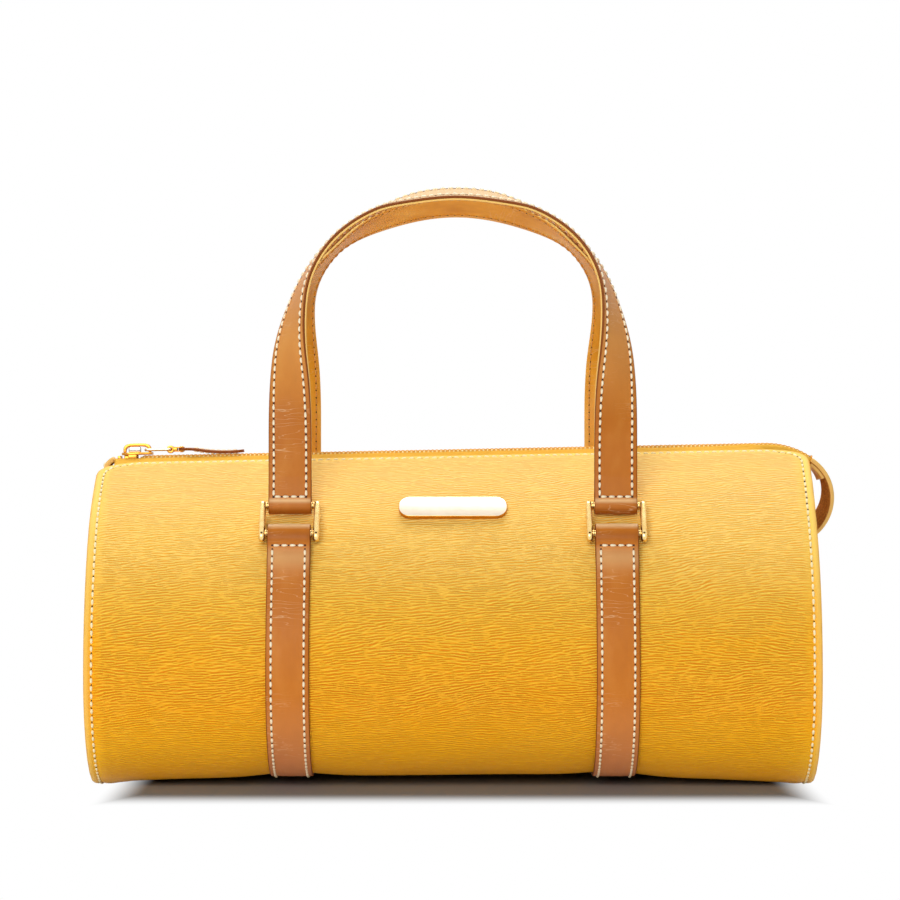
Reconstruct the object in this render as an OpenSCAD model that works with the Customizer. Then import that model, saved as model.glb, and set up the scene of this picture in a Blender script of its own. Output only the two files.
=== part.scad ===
// Barrel handbag of grained leather with two strap handles, four link buckles and a coil zip.
// Millimetres. X runs along the barrel to the right, -Y is the front, Z is up, and the floor is at zero.

/* [Barrel] */
// Length of the barrel between the outer edges of its two rims
bag_length = 315; // [260:1:380]
// Depth of the barrel where it is deepest
bag_depth = 154; // [140:1:170]
// Height of the leather's crown above the floor
bag_height = 145; // [138:1:160]
// Height at which the barrel is deepest
widest_height = 50; // [44:1:56]
// Radius of the rounded top
top_radius = 50; // [44:1:56]
// Thickness of the yellow leather
leather_t = 1.4; // [1.2:0.1:1.8]
// How far the middle of the base arches up between the rims
base_lift = 3.8; // [3.2:0.1:5]
// Slope of the zip line, which rises to the right, in degrees
zip_slope = 1.15; // [0.6:0.05:1.4]
// Width of the mouth between the leather's two edges
mouth_w = 19; // [17:0.5:22]
// Length over which the mouth's corners round off
mouth_corner_l = 22.5; // [16:0.5:26]
// How much each side of the mouth widens at the rims
mouth_corner_w = 15; // [10:0.5:16]
// Width of the flange that carries the rim seam
flange_w = 7.5; // [6:0.5:9]
// Depth of the end panels inside the rims
panel_recess = 3.5; // [2.5:0.5:4.5]

/* [Straps and handles] */
// Width of the tan straps
strap_w = 18.6; // [16:0.1:20]
// Distance between the two straps' middles
strap_spacing = 141; // [126:1:160]
// Thickness of the base straps
strap_t = 1.9; // [1.4:0.1:2.2]
// Radius of the slow curve with which each leg of a handle starts to bend inwards
leg_curve_radius = 120; // [90:1:150]
// Angle of that slow curve, in degrees
leg_curve = 14; // [8:0.5:20]
// Radius of the handle's shoulders
shoulder_radius = 55; // [48:0.5:62]
// Angle between the end of a shoulder and the top of the arch, in degrees
crown_arc = 26; // [20:0.5:32]
// Height of the straight leg above the upper pin
leg_length = 61.5; // [50:0.5:80]
// Thickness of the handle's tan outer ply
outer_ply_t = 1.2; // [1:0.1:1.9]
// Thickness of the handle's yellow lining ply
lining_ply_t = 0.9; // [0.8:0.1:1.6]
// Twist of the front strap at its shoulders, in degrees
shoulder_twist = 88; // [60:1:90]
// Twist of the front strap at the top of the arch, in degrees
crown_twist = 75; // [60:1:90]
// Twist of the back strap from its shoulders on, in degrees
back_twist = 64; // [56:1:90]
// How much longer the back handle's legs are
back_leg_extra = 2; // [0:0.5:3]
// How far the arch leans to the right at its top
arch_lean = 1.5; // [0:0.5:5]
// Distance of the arch's middle from the bag's middle plane
arch_y = 46; // [40:0.5:50]

/* [Link buckles] */
// Radius of the pins
pin_r = 1.5; // [1.2:0.1:1.7]
// Distance between the two pins of a link
pin_spacing = 15.2; // [14.5:0.1:18]
// Half the width of a side plate, which is also its end radius
plate_r = 2.5; // [2.3:0.1:3.4]
// Thickness of a side plate
plate_t = 2; // [1.5:0.1:2.5]
// Gap between the two side plates
plate_gap = 20.8; // [20.4:0.1:22]
// Height of the pins' axes above the leather
pin_standoff = 4.2; // [4:0.1:4.8]
// Direction of the lower pins from the centre of the side curve, in degrees
lower_pin_angle = 35.2; // [32:0.1:38]

/* [Zip] */
// Half the width of one zip tape, from the middle to its sewn edge
tape_w = 16.5; // [15:0.5:18]
// Thickness of the tape
tape_t = 0.6; // [0.4:0.1:0.8]
// Height of the coil above the tape
coil_h = 1.9; // [1.7:0.1:2.4]
// Distance from one turn of the coil to the next
coil_pitch = 1.9; // [1.7:0.1:2.4]
// Half the width of the closed coil
coil_half_w = 3.5; // [3.2:0.1:3.6]
// Distance of the closed slider's middle from the outer edge of the left rim
slider_set_in = 16; // [15:0.5:20]
// Length of the slider
slider_l = 14; // [12:0.5:15]
// Width of the slider
slider_w = 9.8; // [9.6:0.1:11]
// Radius at which the zip's right end bends down
tail_radius = 34; // [28:1:40]
// Angle through which the zip's right end bends down, in degrees
tail_bend = 36; // [30:1:40]

/* [Zip pull and end tabs] */
// Length of the pull ring between its two bars
ring_l = 11; // [9:0.5:13]
// Radius of the pull ring's wire
ring_wire_r = 0.65; // [0.5:0.05:0.7]
// Length of the leather pull
pull_l = 35; // [26:1:40]
// Width of the leather pull
pull_w = 9; // [7.5:0.5:10]
// Width of the leather end tabs
tab_w = 12; // [10:0.5:13]
// Thickness of the leather end tabs
tab_t = 2.2; // [1.8:0.1:2.4]

/* [Plate] */
// Length of the metal plate on the front
badge_l = 47; // [36:1:60]
// Height of the plate
badge_h = 11.5; // [9:0.5:14]
// Thickness of the plate
badge_t = 2; // [1.4:0.1:2.4]

/* [Hidden] */

yellow = "#e5a52a";
pale_yellow = "#d9952c";
tan_leather = "#b9682c";
gold = "#d9b45f";
bright_gold = "#efe6cf";
cloth = "#a8762f";
board = "#8a7a60";

// Clearances and the overrun of cuts
seam_gap = 0.1;
soft_gap = 0.3;
strap_gap = 0.45;
running_gap = 0.08;
ply_gap = 0.05;
overrun = 1;
round_fn = 48;

// Section of the barrel: a top arc, a side arc and a base arc that meet without a corner
half_l = bag_length / 2;
half_d = bag_depth / 2;
crown_rise = bag_height - top_radius - widest_height;
side_radius = (half_d * half_d + crown_rise * crown_rise - top_radius * top_radius)
    / (2 * (half_d - top_radius));
side_y = half_d - side_radius;
meet_angle = atan2(crown_rise, side_radius - half_d);
base_flat = half_d - widest_height;

// A point of the section, by the direction of its outward normal, moved inwards by inset
function section_point(angle, inset) =
    angle > meet_angle
        ? [(top_radius - inset) * cos(angle), bag_height - top_radius + (top_radius - inset) * sin(angle)]
    : angle > 0
        ? [side_y + (side_radius - inset) * cos(angle), widest_height + (side_radius - inset) * sin(angle)]
        : [base_flat + (widest_height - inset) * cos(angle),
           widest_height + (widest_height - inset) * sin(angle)];

function smooth_step(t) = let (u = min(1, max(0, t))) u * u * (3 - 2 * u);

// The soft barrel's base arches up between its rims, and its crown follows the sloping zip
rim_x = half_l - flange_w;
shift_low_share = 0.76;
shift_high_share = 0.965;
function lift_at(x) = base_lift * max(0, 1 - x * x / (rim_x * rim_x));
function crown_share(z) =
    smooth_step((z / bag_height - shift_low_share) / (shift_high_share - shift_low_share));
function settle(x, p) =
    [x, p[0], p[1] + lift_at(x) * max(0, 1 - p[1] / widest_height) + x * tan(zip_slope) * crown_share(p[1])];

function mouth_at(x) =
    let (u = max(0, (abs(x) - half_l + mouth_corner_l) / mouth_corner_l))
        mouth_w / 2 + mouth_corner_w * (1 - sqrt(max(0, 1 - u * u)));

function half_angles(from, n_side, n_base) =
    concat([for (i = [0:n_side]) from * (1 - i / n_side)], [for (i = [1:n_base]) -90 * i / n_base]);

function reversed(list) = [for (i = [len(list) - 1:-1:0]) list[i]];

// The open outline from the front edge of the mouth, round the base, to its back edge
function open_outline(x, from, inset, n_side, n_base) =
    let (half = [for (a = half_angles(from, n_side, n_base)) section_point(a, inset)])
        concat([for (p = half) settle(x, [-p[0], p[1]])], [for (p = reversed(half)) settle(x, p)]);

function shell_ring(x, half_mouth, inset, thickness, n_side, n_base) =
    let (from = acos(half_mouth / top_radius))
        concat(open_outline(x, from, inset, n_side, n_base),
               reversed(open_outline(x, from, inset + thickness, n_side, n_base)));

// Skins a list of closed rings, each an outline and its way back, and caps both ends. Two plies that
// share a twisted face take opposite diagonals, because their outlines run opposite ways along it.
module skin(rings, other_diagonal = false) {
    n = len(rings[0]);
    last = (len(rings) - 1) * n;
    polyhedron(
        points = [for (ring = rings, p = ring) p],
        faces = concat(
            [for (j = [0:len(rings) - 2], i = [0:n - 1])
                [j * n + i, j * n + (i + 1) % n, (j + 1) * n + (other_diagonal ? i : (i + 1) % n)]],
            [for (j = [0:len(rings) - 2], i = [0:n - 1])
                [j * n + (other_diagonal ? (i + 1) % n : i), (j + 1) * n + (i + 1) % n, (j + 1) * n + i]],
            [for (i = [0:n / 2 - 2]) [i, n - 1 - i, i + 1]],
            [for (i = [0:n / 2 - 2]) [i + 1, n - 1 - i, n - 2 - i]],
            [for (i = [0:n / 2 - 2]) [last + i, last + i + 1, last + n - 1 - i]],
            [for (i = [0:n / 2 - 2]) [last + i + 1, last + n - 2 - i, last + n - 1 - i]]));
}

// A flat outline in the YZ plane, extruded along X from x to x + length
module across(x, length)
    translate([x, 0, 0]) rotate([90, 0, 90]) linear_extrude(length) children();

// A flat outline in the XZ plane, extruded along Y and centred on it
module along_y(width) rotate([90, 0, 0]) linear_extrude(width, center = true) children();

// The whole bag is moved so that its frame stands in the middle of its bounding box
module in_frame() translate([-frame_shift, 0, 0]) children();

// A path of arcs and straights in a plane: each step is [radius, turn] or [0, length]
function walk(at, heading, steps, parts, i = 0) =
    i >= len(steps) ? [[at[0], at[1], heading]] :
    let (r = steps[i][0], amount = steps[i][1])
        r == 0
            ? concat([[at[0], at[1], heading]],
                     walk([at[0] + amount * cos(heading), at[1] + amount * sin(heading)],
                          heading, steps, parts, i + 1))
            : let (s = sign(amount),
                   centre = [at[0] - s * r * sin(heading), at[1] + s * r * cos(heading)],
                   arc = [for (k = [0:parts - 1]) let (h = heading + amount * k / parts)
                       [centre[0] + s * r * sin(h), centre[1] - s * r * cos(h), h]],
                   end = heading + amount)
                concat(arc, walk([centre[0] + s * r * sin(end), centre[1] - s * r * cos(end)],
                                 end, steps, parts, i + 1));

// The outline of a band that follows such a path, from low to high beside it
function band(path, low, high) =
    concat([for (p = path) [p[0] - high * sin(p[2]), p[1] + high * cos(p[2])]],
           [for (p = reversed(path)) [p[0] - low * sin(p[2]), p[1] + low * cos(p[2])]]);

// Barrel
station_shares = [0, 0.3, 0.55, 0.75, 0.857, 0.9, 0.935, 0.962, 0.982, 1];
shell_side_steps = 12;
shell_base_steps = 8;
function mirrored(shares) = concat([for (s = reversed(shares)) if (s > 0) -s], shares);

module body_panel()
    in_frame() color(yellow)
        difference() {
            skin([for (s = mirrored(station_shares))
                shell_ring(s * half_l, mouth_at(s * half_l), 0, leather_t,
                           shell_side_steps, shell_base_steps)]);
            on_front() at_posts()
                translate([0, 0, -post_l]) cylinder(r = post_r + seam_gap, h = 2 * post_l, $fn = 24);
        }

// End panels, which are pans with the flange that the rim seam goes through
flange_inset = leather_t + soft_gap + seam_gap;
panel_face_x = half_l - panel_recess;
panel_top_drop = 4.5;
tab_notch_w = tab_w + 2 * soft_gap + overrun;
function panel_cap(side) = bag_height + side * half_l * tan(zip_slope) - panel_top_drop;
function panel_outline(side, inset, drop) =
    [for (p = open_outline(side * half_l, 90, inset, 2 * shell_side_steps, shell_base_steps))
        [p[1], min(p[2], panel_cap(side) - drop)]];
// Drawn for the right end, with the section of the end that side names
module end_pan(side)
    difference() {
        across(half_l - flange_w, flange_w) polygon(panel_outline(side, flange_inset, 0));
        across(panel_face_x, panel_recess + overrun)
            polygon(panel_outline(side, flange_inset + leather_t, leather_t));
        across(half_l - flange_w - overrun, flange_w - panel_recess - leather_t + overrun)
            polygon(panel_outline(side, flange_inset + leather_t, leather_t));
        translate([panel_face_x, -tab_notch_w / 2, panel_cap(side) - leather_t - overrun])
            cube([panel_recess + overrun, tab_notch_w, leather_t + 2 * overrun]);
    }
module left_end_panel() in_frame() color(yellow) mirror([1, 0, 0]) end_pan(-1);
module right_end_panel() in_frame() color(yellow) end_pan(1);

// Stiffeners and lining
stiffener_t = 1;
lining_t = 0.5;
lining_inset = leather_t + 4 * soft_gap;
stiffener_x = panel_face_x - leather_t - seam_gap - stiffener_t;
end_lining_x = stiffener_x - seam_gap - lining_t;
disc_inset = flange_inset + leather_t + soft_gap;
lining_end_x = rim_x - soft_gap;
module end_disc(side, x, t, inset)
    across(x, t) polygon(panel_outline(side, inset, inset - flange_inset));
module left_end_stiffener()
    in_frame() color(board) mirror([1, 0, 0])
        end_disc(-1, stiffener_x, stiffener_t, disc_inset);
module right_end_stiffener()
    in_frame() color(board) end_disc(1, stiffener_x, stiffener_t, disc_inset);
module left_end_lining()
    in_frame() color(cloth) mirror([1, 0, 0])
        end_disc(-1, end_lining_x, lining_t, disc_inset);
module right_end_lining()
    in_frame() color(cloth) end_disc(1, end_lining_x, lining_t, disc_inset);

lining_shares = [0, 0.4, 0.75, 1];
lining_side_steps = 12;
lining_base_steps = 6;
lining_half_mouth = tape_w + seam_gap;
module lining()
    in_frame() color(cloth)
        skin([for (s = mirrored(lining_shares))
            shell_ring(s * lining_end_x, lining_half_mouth, lining_inset, lining_t,
                       lining_side_steps, lining_base_steps)]);

base_board_t = 0.7;
board_length_share = 0.93;
module base_stiffener()
    in_frame() color(board)
        skin([for (s = mirrored(lining_shares)) let (x = s * board_length_share * rim_x)
            [for (p = [[-base_flat, flange_inset], [base_flat, flange_inset],
                       [base_flat, flange_inset + base_board_t], [-base_flat, flange_inset + base_board_t]])
                settle(x, p)]]);

// Slip pocket on the back wall
pocket_l = 120;
pocket_t = 0.6;
pocket_low_angle = 4;
pocket_high_angle = 32;
pocket_steps = 6;
pocket_inset = lining_inset + lining_t + soft_gap;
trim_h_angle = 5;
trim_t = 0.9;
function wall_strip(from, to, inset, t) =
    concat([for (i = [0:pocket_steps]) section_point(from + (to - from) * i / pocket_steps, inset)],
           [for (i = [pocket_steps:-1:0]) section_point(from + (to - from) * i / pocket_steps, inset + t)]);
module inner_pocket()
    in_frame() color(cloth) across(-pocket_l / 2, pocket_l)
        polygon(wall_strip(pocket_low_angle, pocket_high_angle, pocket_inset, pocket_t));
module pocket_trim()
    in_frame() color(tan_leather) across(-pocket_l / 2, pocket_l)
        polygon(wall_strip(pocket_high_angle - trim_h_angle, pocket_high_angle,
                           pocket_inset + pocket_t + seam_gap, trim_t));

// Link buckles: two pins on the curve that runs above the leather's side arc
pin_path_r = side_radius + pin_standoff;
upper_pin_angle = lower_pin_angle + 2 * asin(pin_spacing / 2 / pin_path_r);
function pin_at(angle) = [-side_y - pin_path_r * cos(angle), widest_height + pin_path_r * sin(angle)];
lower_pin = pin_at(lower_pin_angle);
upper_pin = pin_at(upper_pin_angle);
pin_bore_r = pin_r + running_gap;
pin_seat_gap = 0.02;
pin_head = 0.35;
link_w = plate_gap + 2 * plate_t;

link_turn = atan2(upper_pin[1] - lower_pin[1], upper_pin[0] - lower_pin[0]);
module stadium(r)
    union() {
        for (c = [lower_pin, upper_pin]) translate(c) circle(r, $fn = round_fn);
        translate(lower_pin) rotate(link_turn) translate([0, -r]) square([pin_spacing, 2 * r]);
    }

module link_plates(side_x)
    for (s = [-1, 1])
        across(side_x * strap_spacing / 2 + s * (plate_gap + plate_t) / 2 - plate_t / 2, plate_t)
            difference() {
                stadium(plate_r);
                for (c = [lower_pin, upper_pin]) translate(c) circle(pin_r + pin_seat_gap, $fn = round_fn);
            }
module link_pins(side_x)
    for (c = [lower_pin, upper_pin])
        across(side_x * strap_spacing / 2 - link_w / 2 - pin_head, link_w + 2 * pin_head)
            translate(c) circle(pin_r, $fn = round_fn);

module at_back() mirror([0, 1, 0]) children();
module front_left_link_plates() in_frame() color(gold) link_plates(-1);
module front_left_link_pins() in_frame() color(bright_gold) link_pins(-1);
module front_right_link_plates() in_frame() color(gold) link_plates(1);
module front_right_link_pins() in_frame() color(bright_gold) link_pins(1);
module back_left_link_plates() in_frame() color(gold) at_back() link_plates(-1);
module back_left_link_pins() in_frame() color(bright_gold) at_back() link_pins(-1);
module back_right_link_plates() in_frame() color(gold) at_back() link_plates(1);
module back_right_link_pins() in_frame() color(bright_gold) at_back() link_pins(1);

// Base straps, which run from the front links, under the bag, to the back links
loop_ply_t = 1.6;
loop_r = pin_bore_r + loop_ply_t;
strap_loop_slack = 1;
fold_loop_slack = 0.7;
fold_turn = 14;
fold_extra = loop_ply_t;
strap_steps = 34;
strap_lift = lift_at(strap_spacing / 2);
function strap_angle(i) = lower_pin_angle - (lower_pin_angle + 90) * i / strap_steps;
function strap_thickness(angle) =
    strap_t + fold_extra * (1 - smooth_step((lower_pin_angle - angle) / fold_turn));
function strap_point(angle, out) =
    let (p = section_point(angle, -out)) [-p[0], p[1] + strap_lift * max(0, 1 - p[1] / widest_height)];
function strap_side(out, fold) =
    [for (i = [0:strap_steps]) let (a = strap_angle(i))
        strap_point(a, out + fold * strap_thickness(a))];
function to_back(list) = [for (p = reversed(list)) [-p[0], p[1]]];
// A loose loop of strap round a pin, which reaches past it in the direction given by way
module slack_loop(way, slack)
    union() {
        for (out = [0, slack])
            translate([out * sin(way), out * cos(way)]) circle(loop_r, $fn = round_fn);
        rotate(-way) translate([-loop_r, 0]) square([2 * loop_r, slack]);
    }
module base_strap(side_x)
    across(side_x * strap_spacing / 2 - strap_w / 2, strap_w)
        difference() {
            union() {
                polygon(concat(strap_side(strap_gap, 1), to_back(strap_side(strap_gap, 1)),
                               reversed(to_back(strap_side(strap_gap, 0))),
                               reversed(strap_side(strap_gap, 0))));
                for (m = [0, 1])
                    mirror([m, 0]) translate(lower_pin) slack_loop(lower_pin_angle, strap_loop_slack);
            }
            for (m = [0, 1]) mirror([m, 0]) translate(lower_pin) circle(pin_bore_r, $fn = round_fn);
        }
module left_base_strap() in_frame() color(tan_leather) base_strap(-1);
module right_base_strap() in_frame() color(tan_leather) base_strap(1);

// Handles: straight legs and an arch of five arcs, with the strap twisted so that its face turns up
arch_parts = 8;
leg_parts = 4;
fold_back_l = 12;
ply_chamfer = 0.3;
arch_z = upper_pin[1] + leg_length;
half_turn = 180;
shoulder_arc = half_turn / 2 - leg_curve - crown_arc;
leg_curve_in = leg_curve_radius * (1 - cos(leg_curve));
shoulder_in = shoulder_radius * (cos(leg_curve) - sin(crown_arc));
crown_radius = (strap_spacing / 2 - leg_curve_in - shoulder_in) / sin(crown_arc);
arch_rise = leg_curve_radius * sin(leg_curve) + shoulder_radius * (cos(crown_arc) - sin(leg_curve))
    + crown_radius * (1 - cos(crown_arc));
arch_line = walk([-strap_spacing / 2, arch_z], half_turn / 2, [
    [leg_curve_radius, -leg_curve], [shoulder_radius, -shoulder_arc], [crown_radius, -2 * crown_arc],
    [shoulder_radius, -shoulder_arc], [leg_curve_radius, -leg_curve]], arch_parts);
function leg_line(side, from) = [for (i = [0:leg_parts - 1])
    [side * strap_spacing / 2, upper_pin[1] + from + (leg_length - from) * i / leg_parts,
     -side * half_turn / 2]];
function handle_line(from) = concat(leg_line(-1, from), arch_line, reversed(leg_line(1, from)));
twist_from = 20;
twist_over = 100;
ease_from = 0.9;
// A place on a handle, its direction in the XZ plane and the strap's twist, for a point of its line
function handle_frame(p, twist, top_twist, extra) =
    let (share = max(0, (p[1] - arch_z) / arch_rise),
         y = upper_pin[0] + (-arch_y - upper_pin[0]) * smooth_step(share),
         turn = twist * smooth_step((p[1] - upper_pin[1] - twist_from) / twist_over)
             - (twist - top_twist) * smooth_step((share - ease_from) / (1 - ease_from)),
         up = extra * smooth_step((p[1] - upper_pin[1] - fold_back_l) / (leg_length - fold_back_l)))
        [[p[0] + arch_lean * smooth_step(share), y, p[1] + up], p[2], turn];

// The width and outward directions of the strap at a place, for the tangent in the XZ plane
function strap_dirs(f) =
    let (h = f[1], out = [sin(h) * -1, 0, cos(h)], front = [0, -1, 0],
         normal = cos(f[2]) * front + sin(f[2]) * out,
         tangent = [cos(h), 0, sin(h)],
         width = cross(tangent, normal))
        [width, normal];

function ply_ring(f, outline) =
    let (d = strap_dirs(f)) [for (q = outline) f[0] + q[0] * d[0] + q[1] * d[1]];
half_w = strap_w / 2;
outer_outline = [
    [-half_w, ply_gap], [-half_w, outer_ply_t - ply_chamfer], [-half_w + ply_chamfer, outer_ply_t],
    [half_w - ply_chamfer, outer_ply_t], [half_w, outer_ply_t - ply_chamfer], [half_w, ply_gap]
];
inner_outline = [
    [-half_w, ply_chamfer - lining_ply_t], [-half_w, 0], [half_w, 0], [half_w, ply_chamfer - lining_ply_t],
    [half_w - ply_chamfer, -lining_ply_t], [ply_chamfer - half_w, -lining_ply_t]
];

function front_frames() =
    [for (p = handle_line(fold_back_l)) handle_frame(p, shoulder_twist, crown_twist, 0)];
function back_frames() =
    [for (p = handle_line(fold_back_l)) handle_frame(p, back_twist, back_twist, back_leg_extra)];
module handle_strap(frames) skin([for (f = frames) ply_ring(f, outer_outline)]);
module handle_inner(frames) skin([for (f = frames) ply_ring(f, inner_outline)], other_diagonal = true);
// Each end of the tan ply folds round its pin and back up behind itself
module handle_folds()
    for (s = [-1, 1])
        across(s * strap_spacing / 2 - strap_w / 2, strap_w)
            translate(upper_pin)
                difference() {
                    union() {
                        slack_loop(half_turn, fold_loop_slack);
                        translate([-outer_ply_t, 0])
                            square([outer_ply_t + lining_ply_t, fold_back_l - ply_gap]);
                    }
                    circle(pin_bore_r, $fn = round_fn);
                }
module front_handle() in_frame() color(tan_leather) handle_strap(front_frames());
module front_handle_folds() in_frame() color(tan_leather) handle_folds();
module front_handle_lining() in_frame() color(pale_yellow) handle_inner(front_frames());
module back_handle() in_frame() color(tan_leather) at_back() handle_strap(back_frames());
module back_handle_folds() in_frame() color(tan_leather) at_back() handle_folds();
module back_handle_lining() in_frame() color(pale_yellow) at_back() handle_inner(back_frames());

// Plate on the front, with its posts and washers
badge_corner_r = 4.5;
post_r = 0.9;
washer_r = 3;
washer_t = 0.6;
post_margin = 8;
badge_angle = upper_pin_angle;
badge_foot = [-side_y - (side_radius + soft_gap) * cos(badge_angle),
              widest_height + (side_radius + soft_gap) * sin(badge_angle)];
// Places a piece on the front, with Z along the leather's normal and Y up the leather
module on_front() translate([0, badge_foot[0], badge_foot[1]]) rotate([90 - badge_angle, 0, 0]) children();
module rounded_plate(l, h, r, t)
    linear_extrude(t)
        union() {
            square([l - 2 * r, h], center = true);
            square([l, h - 2 * r], center = true);
            for (x = [-1, 1], y = [-1, 1])
                translate([x * (l / 2 - r), y * (h / 2 - r)]) circle(r, $fn = round_fn);
        }
module front_plate()
    in_frame() color(bright_gold) on_front() rounded_plate(badge_l, badge_h, badge_corner_r, badge_t);
module at_posts() for (s = [-1, 1]) translate([s * (badge_l / 2 - post_margin), 0, 0]) children();
post_l = 2 * soft_gap + leather_t + washer_t;
module plate_posts()
    in_frame() color(gold) on_front() at_posts()
        translate([0, 0, -post_l]) cylinder(r = post_r, h = post_l, $fn = round_fn);
module plate_washers()
    in_frame() color(gold) on_front() at_posts()
        translate([0, 0, -post_l])
            difference() {
                cylinder(r = washer_r, h = washer_t, $fn = round_fn);
                translate([0, 0, -overrun])
                    cylinder(r = post_r + pin_seat_gap, h = washer_t + 2 * overrun, $fn = round_fn);
            }

// Zip, drawn in its own frame: X along the coil, and zero height on top of the tape
module on_zip() translate([0, 0, bag_height]) rotate([0, -zip_slope, 0]) children();
tape_gap = 0.7;
tape_flat = 5.5;
tape_fold = 9;
tape_set_in = 6.2;
tape_end_x = half_l - tape_set_in;
tail_set_in = 17.5;
sewn_tape_x = half_l - tail_set_in;
slider_x = half_l - slider_set_in;
function under_leather(y) =
    sqrt((top_radius - leather_t) * (top_radius - leather_t) - y * y) - top_radius - 2 * seam_gap;
tape_outline = [
    [tape_gap, 0], [tape_flat, 0], [tape_fold, under_leather(tape_fold)], [tape_w, under_leather(tape_w)],
    [tape_w, under_leather(tape_w) - tape_t], [tape_fold, under_leather(tape_fold) - tape_t],
    [tape_flat, -tape_t], [tape_gap, -tape_t]
];
flat_tape_outline = [[tape_gap, 0], [tape_flat, 0], [tape_flat, -tape_t], [tape_gap, -tape_t]];
// The right end bends down round an axis below the coil
module in_tail(angle)
    translate([sewn_tape_x, 0, -tail_radius]) rotate([0, angle, 0]) translate([0, 0, tail_radius]) children();
module tail_sweep(from, to)
    translate([sewn_tape_x, 0, -tail_radius]) rotate([90, 0, 0]) rotate([0, 0, 90 - to])
        rotate_extrude(angle = to - from, $fn = 4 * round_fn) translate([tail_radius, 0]) children();
module zip_tape()
    union() {
        across(-sewn_tape_x, 2 * sewn_tape_x) polygon(tape_outline);
        across(-tape_end_x, tape_end_x - sewn_tape_x) polygon(flat_tape_outline);
        tail_sweep(0, tail_bend) polygon([for (p = flat_tape_outline) [p[1], -p[0]]]);
    }
module front_zip_tape() in_frame() color(pale_yellow) on_zip() mirror([0, 1, 0]) zip_tape();
module back_zip_tape() in_frame() color(pale_yellow) on_zip() zip_tape();

// Coil rows: a back with turns that reach past the middle and interlock with the other row's
turn_w = 0.95;
turn_reach = 1;
turn_tip = 0.25;
coil_back_y = 1.8;
turn_root_y = 2.6;
coil_split = 0.1;
turn_bend = turn_w / tail_radius * 180 / PI;
coil_start_x = slider_x - 1.6;
row_turns = floor((coil_start_x + sewn_tape_x - coil_pitch) / coil_pitch);
tail_turns = floor(tail_radius * tail_bend * PI / 180 / coil_pitch) - 1;
function turn_outline(x) = [
    [x - turn_w / 2, coil_back_y], [x - turn_w / 2, turn_tip - turn_reach],
    [x - turn_w / 2 + turn_tip, -turn_reach], [x + turn_w / 2 - turn_tip, -turn_reach],
    [x + turn_w / 2, turn_tip - turn_reach], [x + turn_w / 2, coil_back_y]
];
module coil_row(phase)
    union() {
        translate([0, 0, ply_gap]) linear_extrude(coil_h - ply_gap)
            polygon(concat(
                [[-coil_start_x, coil_half_w], [-coil_start_x, coil_back_y]],
                [for (i = [0:row_turns - 1], p = turn_outline(-coil_start_x + (i + phase) * coil_pitch)) p],
                [[sewn_tape_x, coil_back_y], [sewn_tape_x, coil_half_w]]));
        tail_sweep(coil_split, tail_bend)
            polygon([[ply_gap, -coil_back_y], [coil_h, -coil_back_y],
                     [coil_h, -coil_half_w], [ply_gap, -coil_half_w]]);
        for (i = [0:tail_turns - 1])
            let (at = (i + phase) * tail_bend / (tail_turns + 1))
                tail_sweep(at - turn_bend / 2, at + turn_bend / 2)
                    polygon([[2 * ply_gap, turn_reach], [coil_h - ply_gap, turn_reach],
                             [coil_h - ply_gap, -turn_root_y], [2 * ply_gap, -turn_root_y]]);
    }
back_phase = 0.5;
front_phase = 1;
module front_zip_teeth() in_frame() color(yellow) on_zip() mirror([0, 1, 0]) coil_row(front_phase);
module back_zip_teeth() in_frame() color(yellow) on_zip() coil_row(back_phase);

stop_l = 1.6;
module zip_top_stops()
    in_frame() color(gold) on_zip()
        for (s = [-1, 1])
            translate([-slider_x - slider_l / 2 - seam_gap - stop_l, s * (tape_gap + coil_half_w) / 2,
                       coil_h / 2 + ply_gap])
                translate([0, -(coil_half_w - tape_gap) / 2, -coil_h / 2])
                    cube([stop_l, coil_half_w - tape_gap, coil_h]);
module zip_bottom_stop()
    in_frame() color(gold) on_zip() in_tail(tail_bend - stop_l)
        translate([0, -coil_half_w, coil_h + ply_gap]) cube([stop_l, 2 * coil_half_w, ply_chamfer + ply_gap]);

// Leather tabs that tie the zip's two ends to the end panels
tab_parts = 10;
tab_level = coil_h / 2 - tape_t;
function zip_world(x, z) =
    [x * cos(zip_slope) - z * sin(zip_slope), bag_height + x * sin(zip_slope) + z * cos(zip_slope)];
tail_end = [sewn_tape_x + (tail_radius + tab_level) * sin(tail_bend),
            (tail_radius + tab_level) * cos(tail_bend) - tail_radius];
loop_start = zip_world(tail_end[0] + seam_gap, tail_end[1]);
loop_heading = zip_slope - tail_bend;
loop_bow_r = 18.5;
loop_return_r = 20;
loop_return = 50;
loop_foot_r = 8;
loop_foot_l = 10;
sewn_x = panel_face_x + seam_gap + tab_t / 2;
bow_end_x = loop_start[0] + loop_bow_r * (sin(loop_heading) + 1);
loop_slant_l =
    (bow_end_x - (loop_return_r + loop_foot_r) * (1 - cos(loop_return)) - sewn_x) / sin(loop_return);
loop_path = walk(loop_start, loop_heading, [
    [loop_bow_r, -90 - loop_heading], [loop_return_r, -loop_return], [0, loop_slant_l],
    [loop_foot_r, loop_return], [0, loop_foot_l]], tab_parts);
module right_zip_loop()
    in_frame() color(yellow) along_y(tab_w) polygon(band(loop_path, -tab_t / 2, tab_t / 2));

tab_heading = 25;
tab_start = zip_world(-tape_end_x - seam_gap - tab_t / 2 * sin(tab_heading), tab_level);
tab_bend_r = (-tab_start[0] < sewn_x ? sewn_x + tab_start[0] : tab_t) / (1 - sin(tab_heading));
tab_foot_l = 24;
tab_path = walk([-tab_start[0], tab_start[1]], -tab_heading,
                [[tab_bend_r, tab_heading - 90], [0, tab_foot_l]], tab_parts);
module left_zip_tab()
    in_frame() color(yellow) mirror([1, 0, 0]) along_y(tab_w) polygon(band(tab_path, -tab_t / 2, tab_t / 2));

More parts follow.
